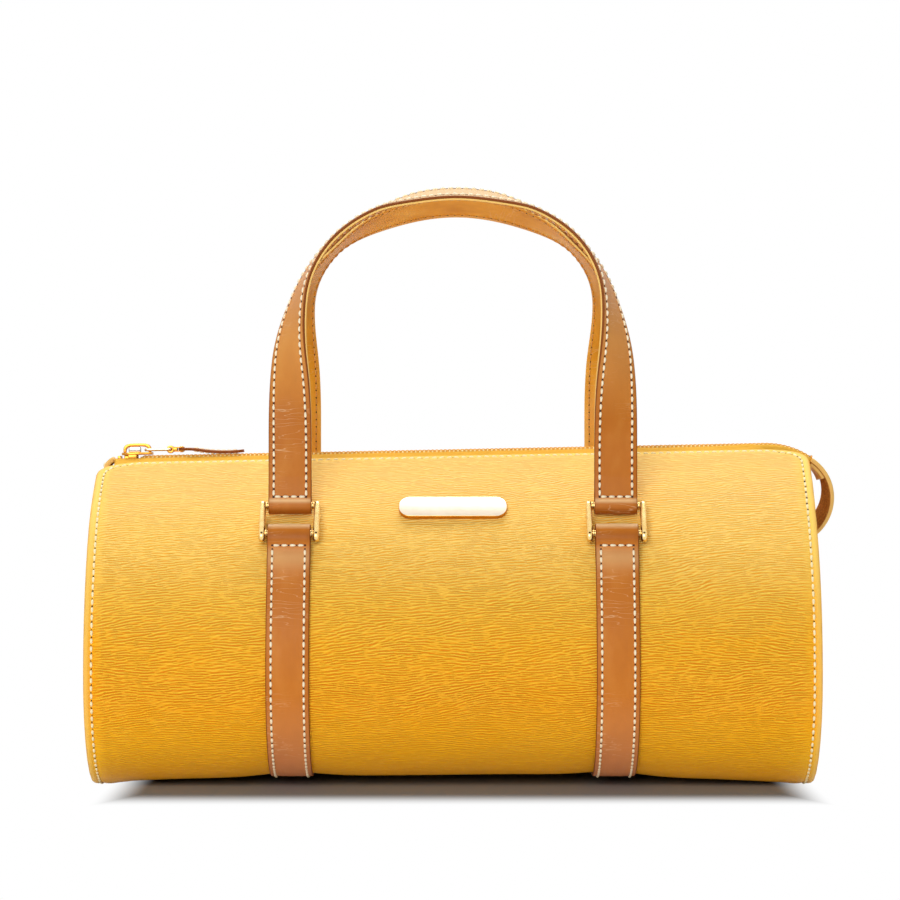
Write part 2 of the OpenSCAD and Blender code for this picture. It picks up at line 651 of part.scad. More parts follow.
// The right loop reaches past its rim, so the middle of the bounding box is not the middle of the barrel
loop_reach = max([for (p = band(loop_path, -tab_t / 2, tab_t / 2)) p[0]]);
frame_shift = (loop_reach - half_l) / 2;

// Slider, drawn in the zip's frame about its own middle
module on_slider() on_zip() translate([-slider_x, 0, 0]) children();
slider_plate_t = 1.2;
slider_lift = coil_h + 0.2;
slider_top = slider_lift + slider_plate_t;
slider_under = tape_t + 0.25;
flange_t = 0.75;
flange_foot = 0.35;
nose_share = 0.68;
waist_share = 0.8;
shoulder_share = 0.55;
slider_outline = [for (s = [1, -1], q = s > 0
    ? [[-1, nose_share], [-shoulder_share, 1], [0, 1], [1, waist_share]]
    : [[1, waist_share], [0, 1], [-shoulder_share, 1], [-1, nose_share]])
    [q[0] * slider_l / 2, s * q[1] * slider_w / 2]];
web_w = 1;
web_l = 5;
module slider_body()
    in_frame() color(gold) on_slider()
        union() {
            translate([0, 0, slider_lift]) linear_extrude(slider_plate_t) polygon(slider_outline);
            translate([0, 0, -slider_under - slider_plate_t])
                linear_extrude(slider_plate_t) polygon(slider_outline);
            translate([-slider_l / 2 + web_w, -web_w / 2, -slider_under - slider_plate_t / 2])
                cube([web_l, web_w, slider_under + slider_lift + slider_plate_t]);
            for (s = [-1, 1])
                translate([0, s * (slider_w / 2 - flange_t / 2), flange_foot])
                    translate([-slider_l / 2 * shoulder_share, -flange_t / 2, 0])
                        cube([slider_l / 2 * shoulder_share, flange_t,
                              slider_lift - flange_foot + slider_plate_t / 2]);
        }

// Bail: a low arch that stands on the slider and holds the pull ring
bail_l = 12.4;
bail_h = 3.9;
bail_t = 1;
bail_w = 2.4;
bail_steps = 16;
bail_power_share = 0.55;
function arch_point(a, l, h) =
    [sign(cos(a)) * l / 2 * pow(abs(cos(a)), bail_power_share), h * pow(sin(a), bail_power_share)];
module slider_bail()
    in_frame() color(gold) on_slider() translate([0, 0, slider_top]) along_y(bail_w)
        polygon(concat([for (i = [0:bail_steps]) arch_point(half_turn * i / bail_steps, bail_l, bail_h)],
                       [for (i = [bail_steps:-1:0])
                           arch_point(half_turn * i / bail_steps, bail_l - 2 * bail_t, bail_h - bail_t)]));

// Pull ring: a wire loop through the bail, which swings about its near bar
ring_x = 3.9;
ring_z = slider_top + ring_wire_r + 0.35;
ring_inner_w = 4.4;
ring_arm_y = ring_inner_w / 2 + ring_wire_r;
module wire(length, r) cylinder(r = r, h = length, center = true, $fn = round_fn);
module pull_ring()
    in_frame() color(bright_gold) on_slider() translate([ring_x, 0, ring_z])
        union() {
            for (x = [0, ring_l]) translate([x, 0, 0]) rotate([90, 0, 0]) wire(2 * ring_arm_y, ring_wire_r);
            for (s = [-1, 1])
                translate([ring_l / 2, s * ring_arm_y, 0]) rotate([0, 90, 0]) wire(ring_l, ring_wire_r);
            for (x = [0, ring_l], s = [-1, 1])
                translate([x, s * ring_arm_y, 0]) sphere(ring_wire_r, $fn = round_fn);
        }

// Clasp and leather of the pull, which swing about the ring's far bar
clasp_r = 1.75;
clasp_w = ring_inner_w - 2 * soft_gap;
clasp_l = 4.2;
clasp_t = 2.2;
clasp_plate_w = 6.4;
clasp_start = ring_wire_r + 1.3;
pull_t = 1.3;
pull_grip = 2.4;
module on_pull() on_slider() translate([ring_x + ring_l, 0, ring_z]) children();
module pull_clasp()
    in_frame() color(gold) on_pull()
        difference() {
            union() {
                rotate([90, 0, 0]) wire(clasp_w, clasp_r);
                translate([0, -clasp_w / 2, -clasp_t / 2]) cube([clasp_start + overrun, clasp_w, clasp_t]);
                translate([clasp_start, -clasp_plate_w / 2, -clasp_t / 2])
                    cube([clasp_l, clasp_plate_w, clasp_t]);
            }
            rotate([90, 0, 0]) wire(clasp_w + 2 * overrun, ring_wire_r + running_gap);
            translate([clasp_start + clasp_l - pull_grip, -clasp_plate_w / 2 - overrun,
                       -pull_t / 2 - pin_seat_gap])
                cube([pull_grip + overrun, clasp_plate_w + 2 * overrun, pull_t + 2 * pin_seat_gap]);
            translate([clasp_start + clasp_l - pull_grip / 2, 0, 0])
                cylinder(r = rivet_r + pin_seat_gap, h = clasp_t + 2 * overrun, center = true,
                         $fn = round_fn);
        }
rivet_r = 0.6;
rivet_head_t = 0.3;
module pull_rivet()
    in_frame() color(bright_gold) on_pull()
        translate([clasp_start + clasp_l - pull_grip / 2, 0, 0])
            cylinder(r = rivet_r, h = clasp_t + 2 * rivet_head_t, center = true, $fn = round_fn);
pull_sag = 10;
pull_rise = 16;
pull_parts = 8;
pull_root_l = pull_grip + 1;
pull_bend_share = 0.36;
pull_bend_r = (pull_l - pull_root_l) * pull_bend_share / 2 / (pull_sag * PI / 180);
pull_rise_r = (pull_l - pull_root_l) * (1 - pull_bend_share) / (pull_rise * PI / 180);
pull_path = walk([clasp_start + clasp_l - pull_grip + pin_seat_gap, 0], 0, [
    [0, pull_root_l], [pull_bend_r, -pull_sag], [pull_rise_r, pull_rise]], pull_parts);
pull_tip_r = 1.8;
module pull_leather()
    in_frame() color(tan_leather) on_pull()
        difference() {
            intersection() {
                along_y(pull_w) polygon(band(pull_path, -pull_t / 2, pull_t / 2));
                linear_extrude(pull_l, center = true)
                    union() {
                        translate([0, -clasp_plate_w / 2])
                            square([clasp_start + clasp_l + overrun, clasp_plate_w]);
                        translate([clasp_start + clasp_l, -pull_w / 2]) square([pull_l, pull_w]);
                    }
            }
            translate([clasp_start + clasp_l - pull_grip / 2, 0, 0])
                cylinder(r = rivet_r + pin_seat_gap, h = clasp_t + 2 * overrun, center = true,
                         $fn = round_fn);
        }

body_panel();
left_end_panel();
right_end_panel();
left_end_stiffener();
right_end_stiffener();
base_stiffener();
lining();
left_end_lining();
right_end_lining();
inner_pocket();
pocket_trim();
left_base_strap();
right_base_strap();
front_plate();
plate_posts();
plate_washers();
front_zip_tape();
back_zip_tape();
front_zip_teeth();
back_zip_teeth();
zip_top_stops();
zip_bottom_stop();
left_zip_tab();
right_zip_loop();
slider_body();
slider_bail();
pull_ring();
pull_clasp();
pull_leather();
pull_rivet();
front_left_link_plates();
front_left_link_pins();
front_right_link_plates();
front_right_link_pins();
back_left_link_plates();
back_left_link_pins();
back_right_link_plates();
back_right_link_pins();
front_handle();
front_handle_folds();
front_handle_lining();
back_handle();
back_handle_folds();
back_handle_lining();
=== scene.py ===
"""Barrel handbag of grained yellow leather with tan strap handles, link buckles and a coil zip.

Lengths in the drawing functions are millimetres in the barrel's own frame: X along the barrel to the
right, -Y to the front, Z up, with X measured from the barrel's middle. place() turns them into metres.
"""

import math

import bmesh
import bpy
import numpy as np
from mathutils import Matrix, Vector


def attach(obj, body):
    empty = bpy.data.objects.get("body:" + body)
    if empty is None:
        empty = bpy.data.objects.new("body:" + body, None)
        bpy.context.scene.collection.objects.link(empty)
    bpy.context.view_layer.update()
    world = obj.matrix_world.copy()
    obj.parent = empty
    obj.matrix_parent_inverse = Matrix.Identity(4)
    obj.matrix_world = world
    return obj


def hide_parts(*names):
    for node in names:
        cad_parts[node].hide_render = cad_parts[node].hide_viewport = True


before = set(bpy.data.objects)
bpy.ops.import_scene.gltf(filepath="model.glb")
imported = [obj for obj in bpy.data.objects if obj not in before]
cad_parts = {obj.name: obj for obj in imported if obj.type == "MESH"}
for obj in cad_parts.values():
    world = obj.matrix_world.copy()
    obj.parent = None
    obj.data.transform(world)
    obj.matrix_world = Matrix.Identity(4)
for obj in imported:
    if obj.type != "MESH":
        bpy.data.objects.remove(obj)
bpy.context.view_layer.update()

MM = 0.001
# the grain layer's unit, in millimetres
UV_UNIT = 100
# how far the row's origin lies to the right of the barrel's middle
FRAME_SHIFT = 5.9557

# Barrel, as the construction has it
HALF_L = 157.5
HALF_D = 77.0
HEIGHT = 145.0
WIDEST_Z = 50.0
TOP_R = 50.0
SIDE_R = 101.0
SIDE_Y = HALF_D - SIDE_R
MEET = math.atan2(HEIGHT - TOP_R - WIDEST_Z, SIDE_R - HALF_D)
BASE_FLAT = HALF_D - WIDEST_Z
BASE_LIFT = 3.8
RIM_X = 150.0
SLOPE = math.radians(1.15)
# shares of the height between which the zip line's slope comes in
SLOPE_FROM, SLOPE_TO = 0.76, 0.965
MOUTH_HALF = 9.5
MOUTH_CORNER_L = 22.5
MOUTH_CORNER_W = 15.0
LEATHER_T = 1.4
# arc lengths from the crown to the ends of the top arc, the side arc, the lower arc and the base
S_TOP = TOP_R * (math.pi / 2 - MEET)
S_SIDE = S_TOP + SIDE_R * MEET
S_BASE = S_SIDE + WIDEST_Z * math.pi / 2
S_HALF = S_BASE + BASE_FLAT
S_ALL = 2 * S_HALF

# Straps and links
STRAP_W = 18.6
STRAP_X = 70.5
# how far the base is lifted over the straps, and over what width
STRAP_LIFT, STRAP_LIFT_W = 1.9, 17
PIN_R = 1.5
PIN_OFF = 4.2
PIN_SPACING = 15.2
LOWER_ANGLE = math.radians(35.2)
UPPER_ANGLE = LOWER_ANGLE + 2 * math.asin(PIN_SPACING / 2 / (SIDE_R + PIN_OFF))

# Stitches: pitch, distance from the leather's edge, thread radius, and shares of pitch and radius
STITCH = 3.4
SEAM_IN = 3.4
THREAD_R = 0.47
STITCH_SHARE = 0.74
HOLE_SHARE = 1.27
STITCH_ROW = STRAP_W / 2 - 2.3
CROSS_ROW_V = np.linspace(-STITCH_ROW, STITCH_ROW, 9)

X_WAY = np.array([1.0, 0.0, 0.0])
SIDES = ((-1, "left"), (1, "right"))
FACES = ((False, "front"), (True, "back"))
EDGES = ((-1, "a"), (1, "b"))


# ---------------------------------------------------------------- places and meshes

def place(points):
    """Barrel-frame millimetres to row-frame metres."""
    p = np.asarray(points, float).reshape(-1, 3) - np.array([FRAME_SHIFT, 0, 0])
    return p * MM


def unit(v):
    v = np.asarray(v, float)
    return v / np.maximum(np.linalg.norm(v, axis=-1, keepdims=True), 1e-12)


def smooth_step(t):
    t = np.clip(t, 0, 1)
    return t * t * (3 - 2 * t)


def hill(x, at, width):
    return np.exp(-((x - at) / width) ** 2)


def lengths(line):
    """Length along a line of points up to each of them."""
    return np.concatenate([[0], np.cumsum(np.linalg.norm(np.diff(line, axis=0), axis=1))])


def sample(values, at, length):
    """Rows of values, known at the lengths given, at other lengths along the line."""
    return np.stack([np.interp(at, length, column) for column in np.asarray(values).T], 1)


def in_plane(u, v):
    """Points (u, 0, v) from two columns."""
    return np.stack([u, np.zeros(len(u)), v], 1)


def new_mesh(name, points, faces, material, smooth=True, uv=None, marks=None):
    """A mesh object from barrel-frame points. uv holds one pair a point, marks a number a point."""
    mesh = bpy.data.meshes.new(name)
    mesh.from_pydata(place(points).tolist(), [], [list(map(int, f)) for f in faces])
    mesh.update()
    if uv is not None:
        layer = mesh.uv_layers.new(name="grain")
        corner = np.empty(len(mesh.loops), np.int32)
        mesh.loops.foreach_get("vertex_index", corner)
        layer.data.foreach_set("uv", (np.asarray(uv) / UV_UNIT).astype(np.float32)[corner].ravel())
    for key, values in (marks or {}).items():
        attribute = mesh.attributes.new(key, "FLOAT", "POINT")
        attribute.data.foreach_set("value", np.asarray(values, np.float32))
    obj = bpy.data.objects.new(name, mesh)
    bpy.context.scene.collection.objects.link(obj)
    for m in material if isinstance(material, (list, tuple)) else [material]:
        mesh.materials.append(m)
    if smooth:
        mesh.shade_smooth()
    return obj


def grid_uv(along, across):
    """One pair a point, in millimetres, for a grid with a row for each value of along."""
    return np.stack([np.repeat(along, len(across)), np.tile(across, len(along))], 1)


def grid_faces(rows, cols, close_cols=False):
    i, j = np.meshgrid(np.arange(rows - 1), np.arange(cols if close_cols else cols - 1), indexing="ij")
    k = (j + 1) % cols
    return np.stack([i * cols + j, i * cols + k, (i + 1) * cols + k, (i + 1) * cols + j], -1).reshape(-1, 4)


def end_caps(rows, cols):
    """The two end faces of a tube with a ring of cols points in each row."""
    return [list(range(cols - 1, -1, -1)), [(rows - 1) * cols + i for i in range(cols)]]


def closing_faces(rows, cols):
    """Faces that join the last ring of a grid to its first."""
    last = (rows - 1) * cols
    return [[last + i, last + (i + 1) % cols, (i + 1) % cols, i] for i in range(cols)]


def apply_modifiers(obj):
    bpy.context.view_layer.update()
    graph = bpy.context.evaluated_depsgraph_get()
    mesh = bpy.data.meshes.new_from_object(obj.evaluated_get(graph), depsgraph=graph)
    obj.modifiers.clear()
    obj.data = mesh
    return obj


def thicken(obj, thickness, offset=-1):
    solid = obj.modifiers.new("thickness", "SOLIDIFY")
    solid.thickness = thickness * MM
    solid.offset = offset
    return obj


def round_edges(obj, width, segments, angle):
    bevel = obj.modifiers.new("rounded", "BEVEL")
    bevel.width = width * MM
    bevel.segments = segments
    bevel.angle_limit = math.radians(angle)
    return obj


def finish_piece(obj, body, slot, *nodes):
    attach(obj, body)
    if nodes:
        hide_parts(*nodes)
    return obj


# ---------------------------------------------------------------- the barrel's surface

def section(s, inset=0.0):
    """Section point and outward normal at arc length s from the crown, down the front, to the back."""
    s = np.asarray(s, float)
    front = s <= S_HALF
    t = np.where(front, s, S_ALL - s)
    angle = np.where(t < S_TOP, math.pi / 2 - t / TOP_R,
                     np.where(t < S_SIDE, MEET - (t - S_TOP) / SIDE_R,
                              -np.minimum((t - S_SIDE) / WIDEST_Z, math.pi / 2)))
    c, n = np.cos(angle), np.sin(angle)
    y = np.where(t < S_TOP, (TOP_R - inset) * c,
                 np.where(t < S_SIDE, SIDE_Y + (SIDE_R - inset) * c, BASE_FLAT + (WIDEST_Z - inset) * c))
    z = np.where(t < S_TOP, HEIGHT - TOP_R + (TOP_R - inset) * n,
                 WIDEST_Z + np.where(t < S_SIDE, SIDE_R - inset, WIDEST_Z - inset) * n)
    y = np.where(t > S_BASE, S_HALF - t, y)
    side = np.where(front, -1.0, 1.0)
    return side * y, z, side * c, n


def lift_at(x):
    arch = BASE_LIFT * np.maximum(0, 1 - (x / RIM_X) ** 2)
    return arch + STRAP_LIFT * hill(np.abs(x), STRAP_X, STRAP_LIFT_W)


def settle(x, z):
    """Heights of the section's points after the base has arched and the zip line has risen."""
    share = smooth_step((z / HEIGHT - SLOPE_FROM) / (SLOPE_TO - SLOPE_FROM))
    return z + lift_at(x) * np.maximum(0, 1 - z / WIDEST_Z) + x * math.tan(SLOPE) * share


def on_barrel(x, s, out=0.0):
    """Points on the settled barrel, out millimetres outside the leather's face."""
    x, s, out = np.broadcast_arrays(np.asarray(x, float), np.asarray(s, float), np.asarray(out, float))
    y, z, ny, nz = section(s)
    y, z = y + out * ny, z + out * nz
    return np.stack([x, y, settle(x, z)], -1)


def barrel_normal(s):
    _, _, ny, nz = section(s)
    return np.stack([np.zeros_like(ny), ny, nz], -1)


def mouth_half(x):
    u = np.clip((np.abs(x) - HALF_L + MOUTH_CORNER_L) / MOUTH_CORNER_L, 0, 1)
    return MOUTH_HALF + MOUTH_CORNER_W * (1 - np.sqrt(np.maximum(0, 1 - u * u)))


def mouth_s(x):
    return TOP_R * np.arcsin(mouth_half(x) / TOP_R)


def edge_line(inset, step=0.25):
    """The leather's outline in (x, s), from the middle of the front edge of the mouth to the base at
    the right rim, moved inwards by inset."""
    t = np.linspace(0, math.pi / 2, 200)
    x = np.concatenate([np.linspace(0, HALF_L - MOUTH_CORNER_L, 400),
                        HALF_L - MOUTH_CORNER_L * (1 - np.sin(t[1:]))])
    s = mouth_s(x)
    tail = np.linspace(s[-1], S_HALF, 600)[1:]
    line = np.stack([np.concatenate([x, np.full(len(tail), HALF_L)]), np.concatenate([s, tail])], 1)
    if inset:
        d = unit(np.gradient(line, axis=0))
        line = line + inset * np.stack([-d[:, 1], d[:, 0]], 1)
        line[:, 1] = np.minimum(line[:, 1], S_HALF)
        line = line[np.concatenate([[True], np.linalg.norm(np.diff(line, axis=0), axis=1) > 1e-6])]
    length = lengths(line)
    return sample(line, np.arange(0, length[-1], step), length)


def leather_marks(x, s):
    """Distance from every point to the leather's cut edge, where it is near."""
    beyond, near_rim, near_mouth, chunk = 99.0, 16, 30, 100
    line = edge_line(0, 1.0)
    q = np.stack([np.abs(x), np.where(s > S_HALF, S_ALL - s, s)], 1)
    near = (q[:, 0] > HALF_L - near_rim) | (q[:, 1] < near_mouth)
    best = np.full(np.count_nonzero(near), beyond)
    for k in range(0, len(line), chunk):
        d = np.linalg.norm(q[near][:, None, :] - line[None, k:k + chunk, :], axis=2).min(1)
        best = np.minimum(best, d)
    far = np.full(len(q), beyond)
    far[near] = best
    return far


def waves(x, s):
    """Slow unevenness of soft leather over its lining, in millimetres."""
    return (0.35 * np.sin(x / 31 + 1.3 * np.sin(s / 57)) * np.sin(s / 43 + 0.4)
            + 0.22 * np.sin(x / 17 - s / 29 + 0.8) * np.sin(s / 21 + x / 90))


def body_columns():
    """Places of the columns along the barrel, close together by the rims."""
    rim, fine, coarse = 9, 0.45, 1.4
    reach = 30
    near = np.concatenate([np.arange(0, rim, fine), np.arange(rim, reach, coarse)])
    middle = np.linspace(-HALF_L + reach + 0.4, HALF_L - reach - 0.4, 118)
    return np.concatenate([-HALF_L + near, middle, HALF_L - near[::-1]])


def body_rows(x):
    """Arc lengths of the body's rows at each column, close together by the mouth."""
    n_edge, n_wall = 14, 190
    s0 = mouth_s(x)[:, None]
    reach = 6.0
    edge = np.linspace(0, 1, n_edge, endpoint=False)[None, :] * reach
    wall = reach + (S_ALL - 2 * s0 - 2 * reach) * np.linspace(0, 1, n_wall)[None, :]
    back = (S_ALL - 2 * s0 - reach) + np.linspace(0, 1, n_edge + 1)[1:][None, :] * reach
    return s0 + np.concatenate([np.broadcast_to(edge, (len(x), n_edge)), wall,
                                np.broadcast_to(back, (len(x), n_edge))], 1)


def leather_shape(x, s):
    """How far the leather's face stands out: seams sink in, edges turn down, the rest is uneven."""
    d = leather_marks(x, s)
    groove = -0.42 * hill(d, SEAM_IN, 0.9)
    edge = -0.5 * np.clip(1 - d / 1.1, 0, 1) ** 2
    puff = 0.2 * hill(d, 1.7, 0.8) + 0.25 * hill(d, 7.5, 3)
    pucker = 0.12 * hill(d, SEAM_IN, 1.6) * np.cos(2 * math.pi * (np.abs(x) + s) / STITCH)
    return groove + edge + puff + pucker + waves(x, s) * np.clip((d - 6) / 14, 0, 1), d


def make_body(material):
    x = body_columns()
    rows = body_rows(x)
    xx, s = np.repeat(x, rows.shape[1]), rows.ravel()
    out, d = leather_shape(xx, s)
    obj = new_mesh("leather_barrel", on_barrel(xx, s, out), grid_faces(*rows.shape), material,
                   uv=np.stack([xx, s], 1), marks={"edge": d})
    apply_modifiers(round_edges(thicken(obj, LEATHER_T), 0.45, 3, 50))
    # the bevel throws single points past the rim where the mouth's edge runs out into it
    low, high = (-HALF_L - FRAME_SHIFT) * MM, (HALF_L - FRAME_SHIFT) * MM
    for v in obj.data.vertices:
        v.co.x = min(max(v.co.x, low), high)
    return finish_piece(obj, "bag", "yellow_leather", "body_panel")


# ---------------------------------------------------------------- stitching

def around(first, second, sides):
    """Rings about many points at once, spanned by two directions at each."""
    a = np.linspace(0, 2 * math.pi, sides, endpoint=False)
    return first[:, None, :] * np.cos(a)[None, :, None] + second[:, None, :] * np.sin(a)[None, :, None]


def thread(points, along, normal, length, radius):
    """Stitches as short arched threads that dip into the leather at both ends."""
    side = unit(np.cross(normal, along))
    t = np.linspace(-1, 1, 7)
    thick = radius * np.sqrt(np.maximum(0.06, 1 - np.abs(t) ** 3.2)) * (1 - 0.16 * t)
    rise = 0.1 + radius * 0.35 - 0.55 * radius * np.abs(t) ** 3
    centre = (points[:, None, :] + along[:, None, :] * (t[None, :, None] * length / 2)
              + normal[:, None, :] * rise[None, :, None])
    ring = around(side * 1.15, normal, 8)
    p = (centre[:, :, None, :] + ring[:, None, :, :] * thick[None, :, None, None]).reshape(-1, 3)
    per = len(t) * ring.shape[1]
    one = grid_faces(len(t), ring.shape[1], close_cols=True)
    quads = (one[None] + (np.arange(len(points)) * per)[:, None, None]).reshape(-1, 4).tolist()
    for k in range(len(points)):
        quads += [[k * per + i for i in cap] for cap in end_caps(len(t), ring.shape[1])]
    return p, quads


def needle_holes(points, along, normal, radius):
    """Dark eyes between the stitches: shallow lens shapes that lie on the leather."""
    sides = 8
    side = unit(np.cross(normal, along))
    rim = around(along * radius * 1.25, side * radius, sides)
    low = points[:, None, :] + rim - normal[:, None, :] * 0.12
    mid = points[:, None, :] + rim * 0.55 + normal[:, None, :] * 0.07
    p = np.concatenate([low, mid, (points - normal * 0.12)[:, None, :],
                        (points + normal * 0.09)[:, None, :]], 1)
    foot, tip = 2 * sides, 2 * sides + 1
    faces = []
    for b in range(0, len(points) * p.shape[1], p.shape[1]):
        for i in range(sides):
            j = (i + 1) % sides
            faces += [[b + i, b + j, b + sides + j, b + sides + i],
                      [b + sides + i, b + sides + j, b + tip], [b + j, b + i, b + foot]]
    return p.reshape(-1, 3), faces


def stitch_row(name, points, normal, body, slot, materials, pitch=STITCH, radius=THREAD_R):
    """Stitches and needle holes along a line of surface points."""
    step = lengths(points)
    count = max(1, int(round(step[-1] / pitch)))
    pitch = step[-1] / count
    tangent = unit(np.gradient(points, axis=0))

    def pick(at):
        return sample(points, at, step), unit(sample(tangent, at, step)), unit(sample(normal, at, step))

    p1, f1 = thread(*pick((np.arange(count) + 0.5) * pitch), pitch * STITCH_SHARE, radius)
    p2, f2 = needle_holes(*pick(np.arange(count + 1) * pitch), radius * HOLE_SHARE)
    obj = new_mesh(name, np.concatenate([p1, p2]), f1 + [[i + len(p1) for i in f] for f in f2], materials)
    obj.data.polygons.foreach_set("material_index", np.repeat([0, 1], [len(f1), len(f2)]).astype(np.int32))
    return finish_piece(obj, body, slot)


def body_seams(materials):
    """One row runs along each side of the mouth, round its corners and down each rim to the base."""
    line = edge_line(SEAM_IN, 0.5)
    for side, label in SIDES[::-1]:
        for back, word in FACES:
            x = side * line[:, 0]
            s = S_ALL - line[:, 1] if back else line[:, 1]
            points = on_barrel(x, s, leather_shape(x, s)[0])
            stitch_row(f"seam_{word}_{label}", points, barrel_normal(s), "bag", "yellow_leather", materials,
                       radius=0.5)


# ---------------------------------------------------------------- straps as ribbons

def ribbon(name, centre, across, normal, width, thick, material, crown=0.12, round_r=0.45, marks=None):
    """A strap swept along its centre line, with rounded painted edges and a slightly crowned face."""
    half, t = width / 2, thick / 2
    flat = np.linspace(-half + round_r, half - round_r, 9)
    arc = np.linspace(0, math.pi / 2, 4)[1:]
    right = [(half - round_r + round_r * math.sin(a), t - round_r + round_r * math.cos(a)) for a in arc]
    right += [(half - round_r + round_r * math.cos(a), -t + round_r - round_r * math.sin(a)) for a in arc]
    profile = np.array([(v, t + crown * (1 - (v / half) ** 2)) for v in flat] + right
                       + [(v, -t) for v in flat[::-1]] + [(-v, w) for v, w in right[::-1]])
    n, m = len(centre), len(profile)
    points = (centre[:, None, :] + across[:, None, :] * profile[None, :, 0, None]
              + normal[:, None, :] * profile[None, :, 1, None]).reshape(-1, 3)
    faces = grid_faces(n, m, close_cols=True).tolist() + end_caps(n, m)
    paint = np.tile(smooth_step((np.abs(profile[:, 0]) - (half - round_r * 1.15)) / (round_r * 0.5)), n)
    paint[:m] = 1
    paint[-m:] = 1
    values = {key: np.repeat(value, m) for key, value in (marks or {}).items()}
    obj = new_mesh(name, points, faces, material, uv=grid_uv(lengths(centre), profile[:, 0]),
                   marks={"paint": paint, **values})
    return fix_normals(obj)


def fix_normals(obj):
    bm = bmesh.new()
    bm.from_mesh(obj.data)
    bmesh.ops.recalc_face_normals(bm, faces=bm.faces)
    bm.to_mesh(obj.data)
    bm.free()
    obj.data.shade_smooth()
    return obj


def spline(points, step=0.8):
    """A smooth line through points, with even spacing."""
    p = np.asarray(points, float)
    padded = np.concatenate([[2 * p[0] - p[1]], p, [2 * p[-1] - p[-2]]])
    out = []
    for a, b, c, d in zip(padded, padded[1:], padded[2:], padded[3:]):
        for t in np.linspace(0, 1, 12, endpoint=False):
            out.append(0.5 * (2 * b + (c - a) * t + (2 * a - 5 * b + 4 * c - d) * t ** 2
                              + (3 * b - a - 3 * c + d) * t ** 3))
    out = np.array(out + [p[-1]])
    length = lengths(out)
    return sample(out, np.linspace(0, length[-1], max(2, int(length[-1] / step))), length)


def pin_s(angle):
    return S_TOP + SIDE_R * (MEET - angle)


def pin_centre(angle, back=False):
    y = -SIDE_Y - (SIDE_R + PIN_OFF) * math.cos(angle)
    z = WIDEST_Z + (SIDE_R + PIN_OFF) * math.sin(angle)
    return np.array([0.0, -y if back else y, z])


PLY = 1.6
LOOP_R = PIN_R + 0.08 + PLY / 2
STRAP_SLACK = 1.0
# the base strap's cross row, below the lower pin
STRAP_ROW_START = 6.2


def strap_path():
    """Base strap as (arc length s, height out of the leather), from its front fold to its back fold."""
    s0 = pin_s(LOWER_ANGLE)
    fold = [(13, 0.95), (8, 0.95), (4.0, 1.2)]
    ring = [(-STRAP_SLACK - LOOP_R * math.sin(a), PIN_OFF - LOOP_R * math.cos(a))
            for a in np.linspace(math.radians(5), math.radians(180), 9)]
    down = [(2.8, 6.0), (5.0, 4.4), (7.5, 2.95), (10.0, 2.6), (13.5, 2.45), (16.5, 2.0),
            (20, 1.4), (26, 1.1)]
    front = [(s0 + d, h) for d, h in fold + ring + down]
    under = [(s, 1.1) for s in np.linspace(s0 + 36, S_HALF, 20)]
    half = spline(front + under)
    back = np.stack([S_ALL - half[::-1, 0], half[::-1, 1]], 1)
    return np.concatenate([half, back[1:]])


def make_base_strap(side, label, materials, threads):
    path = strap_path()
    n = len(path)
    centre = on_barrel(np.full(n, side * STRAP_X), *path.T)
    across = np.tile(X_WAY, (n, 1))
    normal = unit(np.cross(unit(np.gradient(centre, axis=0)), across))
    s0 = pin_s(LOWER_ANGLE)
    down = np.minimum(path[:, 0], S_ALL - path[:, 0]) - s0
    # painted light on the strap: a painted highlight on the top of the fold round the pin, painted shade
    # just below it, and a weaker painted highlight where the strap comes down onto the barrel
    bend = (0.85 * hill(down, -2.2, 1.3) * (path[:, 1] > PIN_OFF - 0.6)
            - 0.4 * hill(down, 2.6, 1.9) + 0.36 * hill(down, 11, 4.5))
    obj = ribbon(f"base_strap_{label}", centre, across, normal, STRAP_W, PLY, materials,
                 marks={"bend": bend})
    finish_piece(obj, "bag", "tan_leather", f"{label}_base_strap")

    start = s0 + STRAP_ROW_START
    crest, index = np.argmax(path[:, 1]), np.arange(n)
    rows = (path[:, 0] > start) & (path[:, 0] < S_ALL - start) & (path[:, 1] < 3.4)
    rows &= (index > crest) & (index < n - 1 - crest)
    for edge, letter in EDGES:
        points = centre[rows] + across[rows] * edge * STITCH_ROW + normal[rows] * (PLY / 2 + 0.02)
        stitch_row(f"base_strap_{label}_stitches_{letter}", points, normal[rows], "bag", "tan_leather",
                   threads)
    first = np.flatnonzero(path[:n // 2, 0] < start)[-1]
    for k, word in ((first, "front"), (n - 1 - first, "back")):
        points = centre[k] + CROSS_ROW_V[:, None] * X_WAY + normal[k] * (PLY / 2 + 0.08)
        stitch_row(f"base_strap_{label}_cross_{word}", points, np.tile(normal[k], (len(points), 1)),
                   "bag", "tan_leather", threads)


# ---------------------------------------------------------------- handles

LEG = 61.5
ARCH_Y = 46.0
ARCH_LEAN = 1.5
FOLD_L = 12.0
FOLD_SLACK = 0.7
OUTER_T = 1.2
INNER_T = 0.9
CROSS_ROW = 3.7
LEG_CURVE_R, LEG_CURVE = 120.0, math.radians(14)
SHOULDER_R, CROWN_ARC = 55.0, math.radians(26)
SHOULDER_ARC = math.pi / 2 - LEG_CURVE - CROWN_ARC
CROWN_R = (STRAP_X - LEG_CURVE_R * (1 - math.cos(LEG_CURVE))
           - SHOULDER_R * (math.cos(LEG_CURVE) - math.sin(CROWN_ARC))) / math.sin(CROWN_ARC)
ARCH_RISE = (LEG_CURVE_R * math.sin(LEG_CURVE) + SHOULDER_R * (math.cos(CROWN_ARC) - math.sin(LEG_CURVE))
             + CROWN_R * (1 - math.cos(CROWN_ARC)))
TWIST_FROM, TWIST_OVER = 20.0, 100.0
HANDLE_TOP = 262.0
BACK_SWELL = 2.4
# twist at the shoulders and at the crown, share of the rise where it starts to ease, and how much
# longer the legs are
FRONT_HANDLE = (math.radians(88), math.radians(75), 0.9, 0.0)
BACK_HANDLE = (math.radians(84), math.radians(62), 0.7, 2.0)


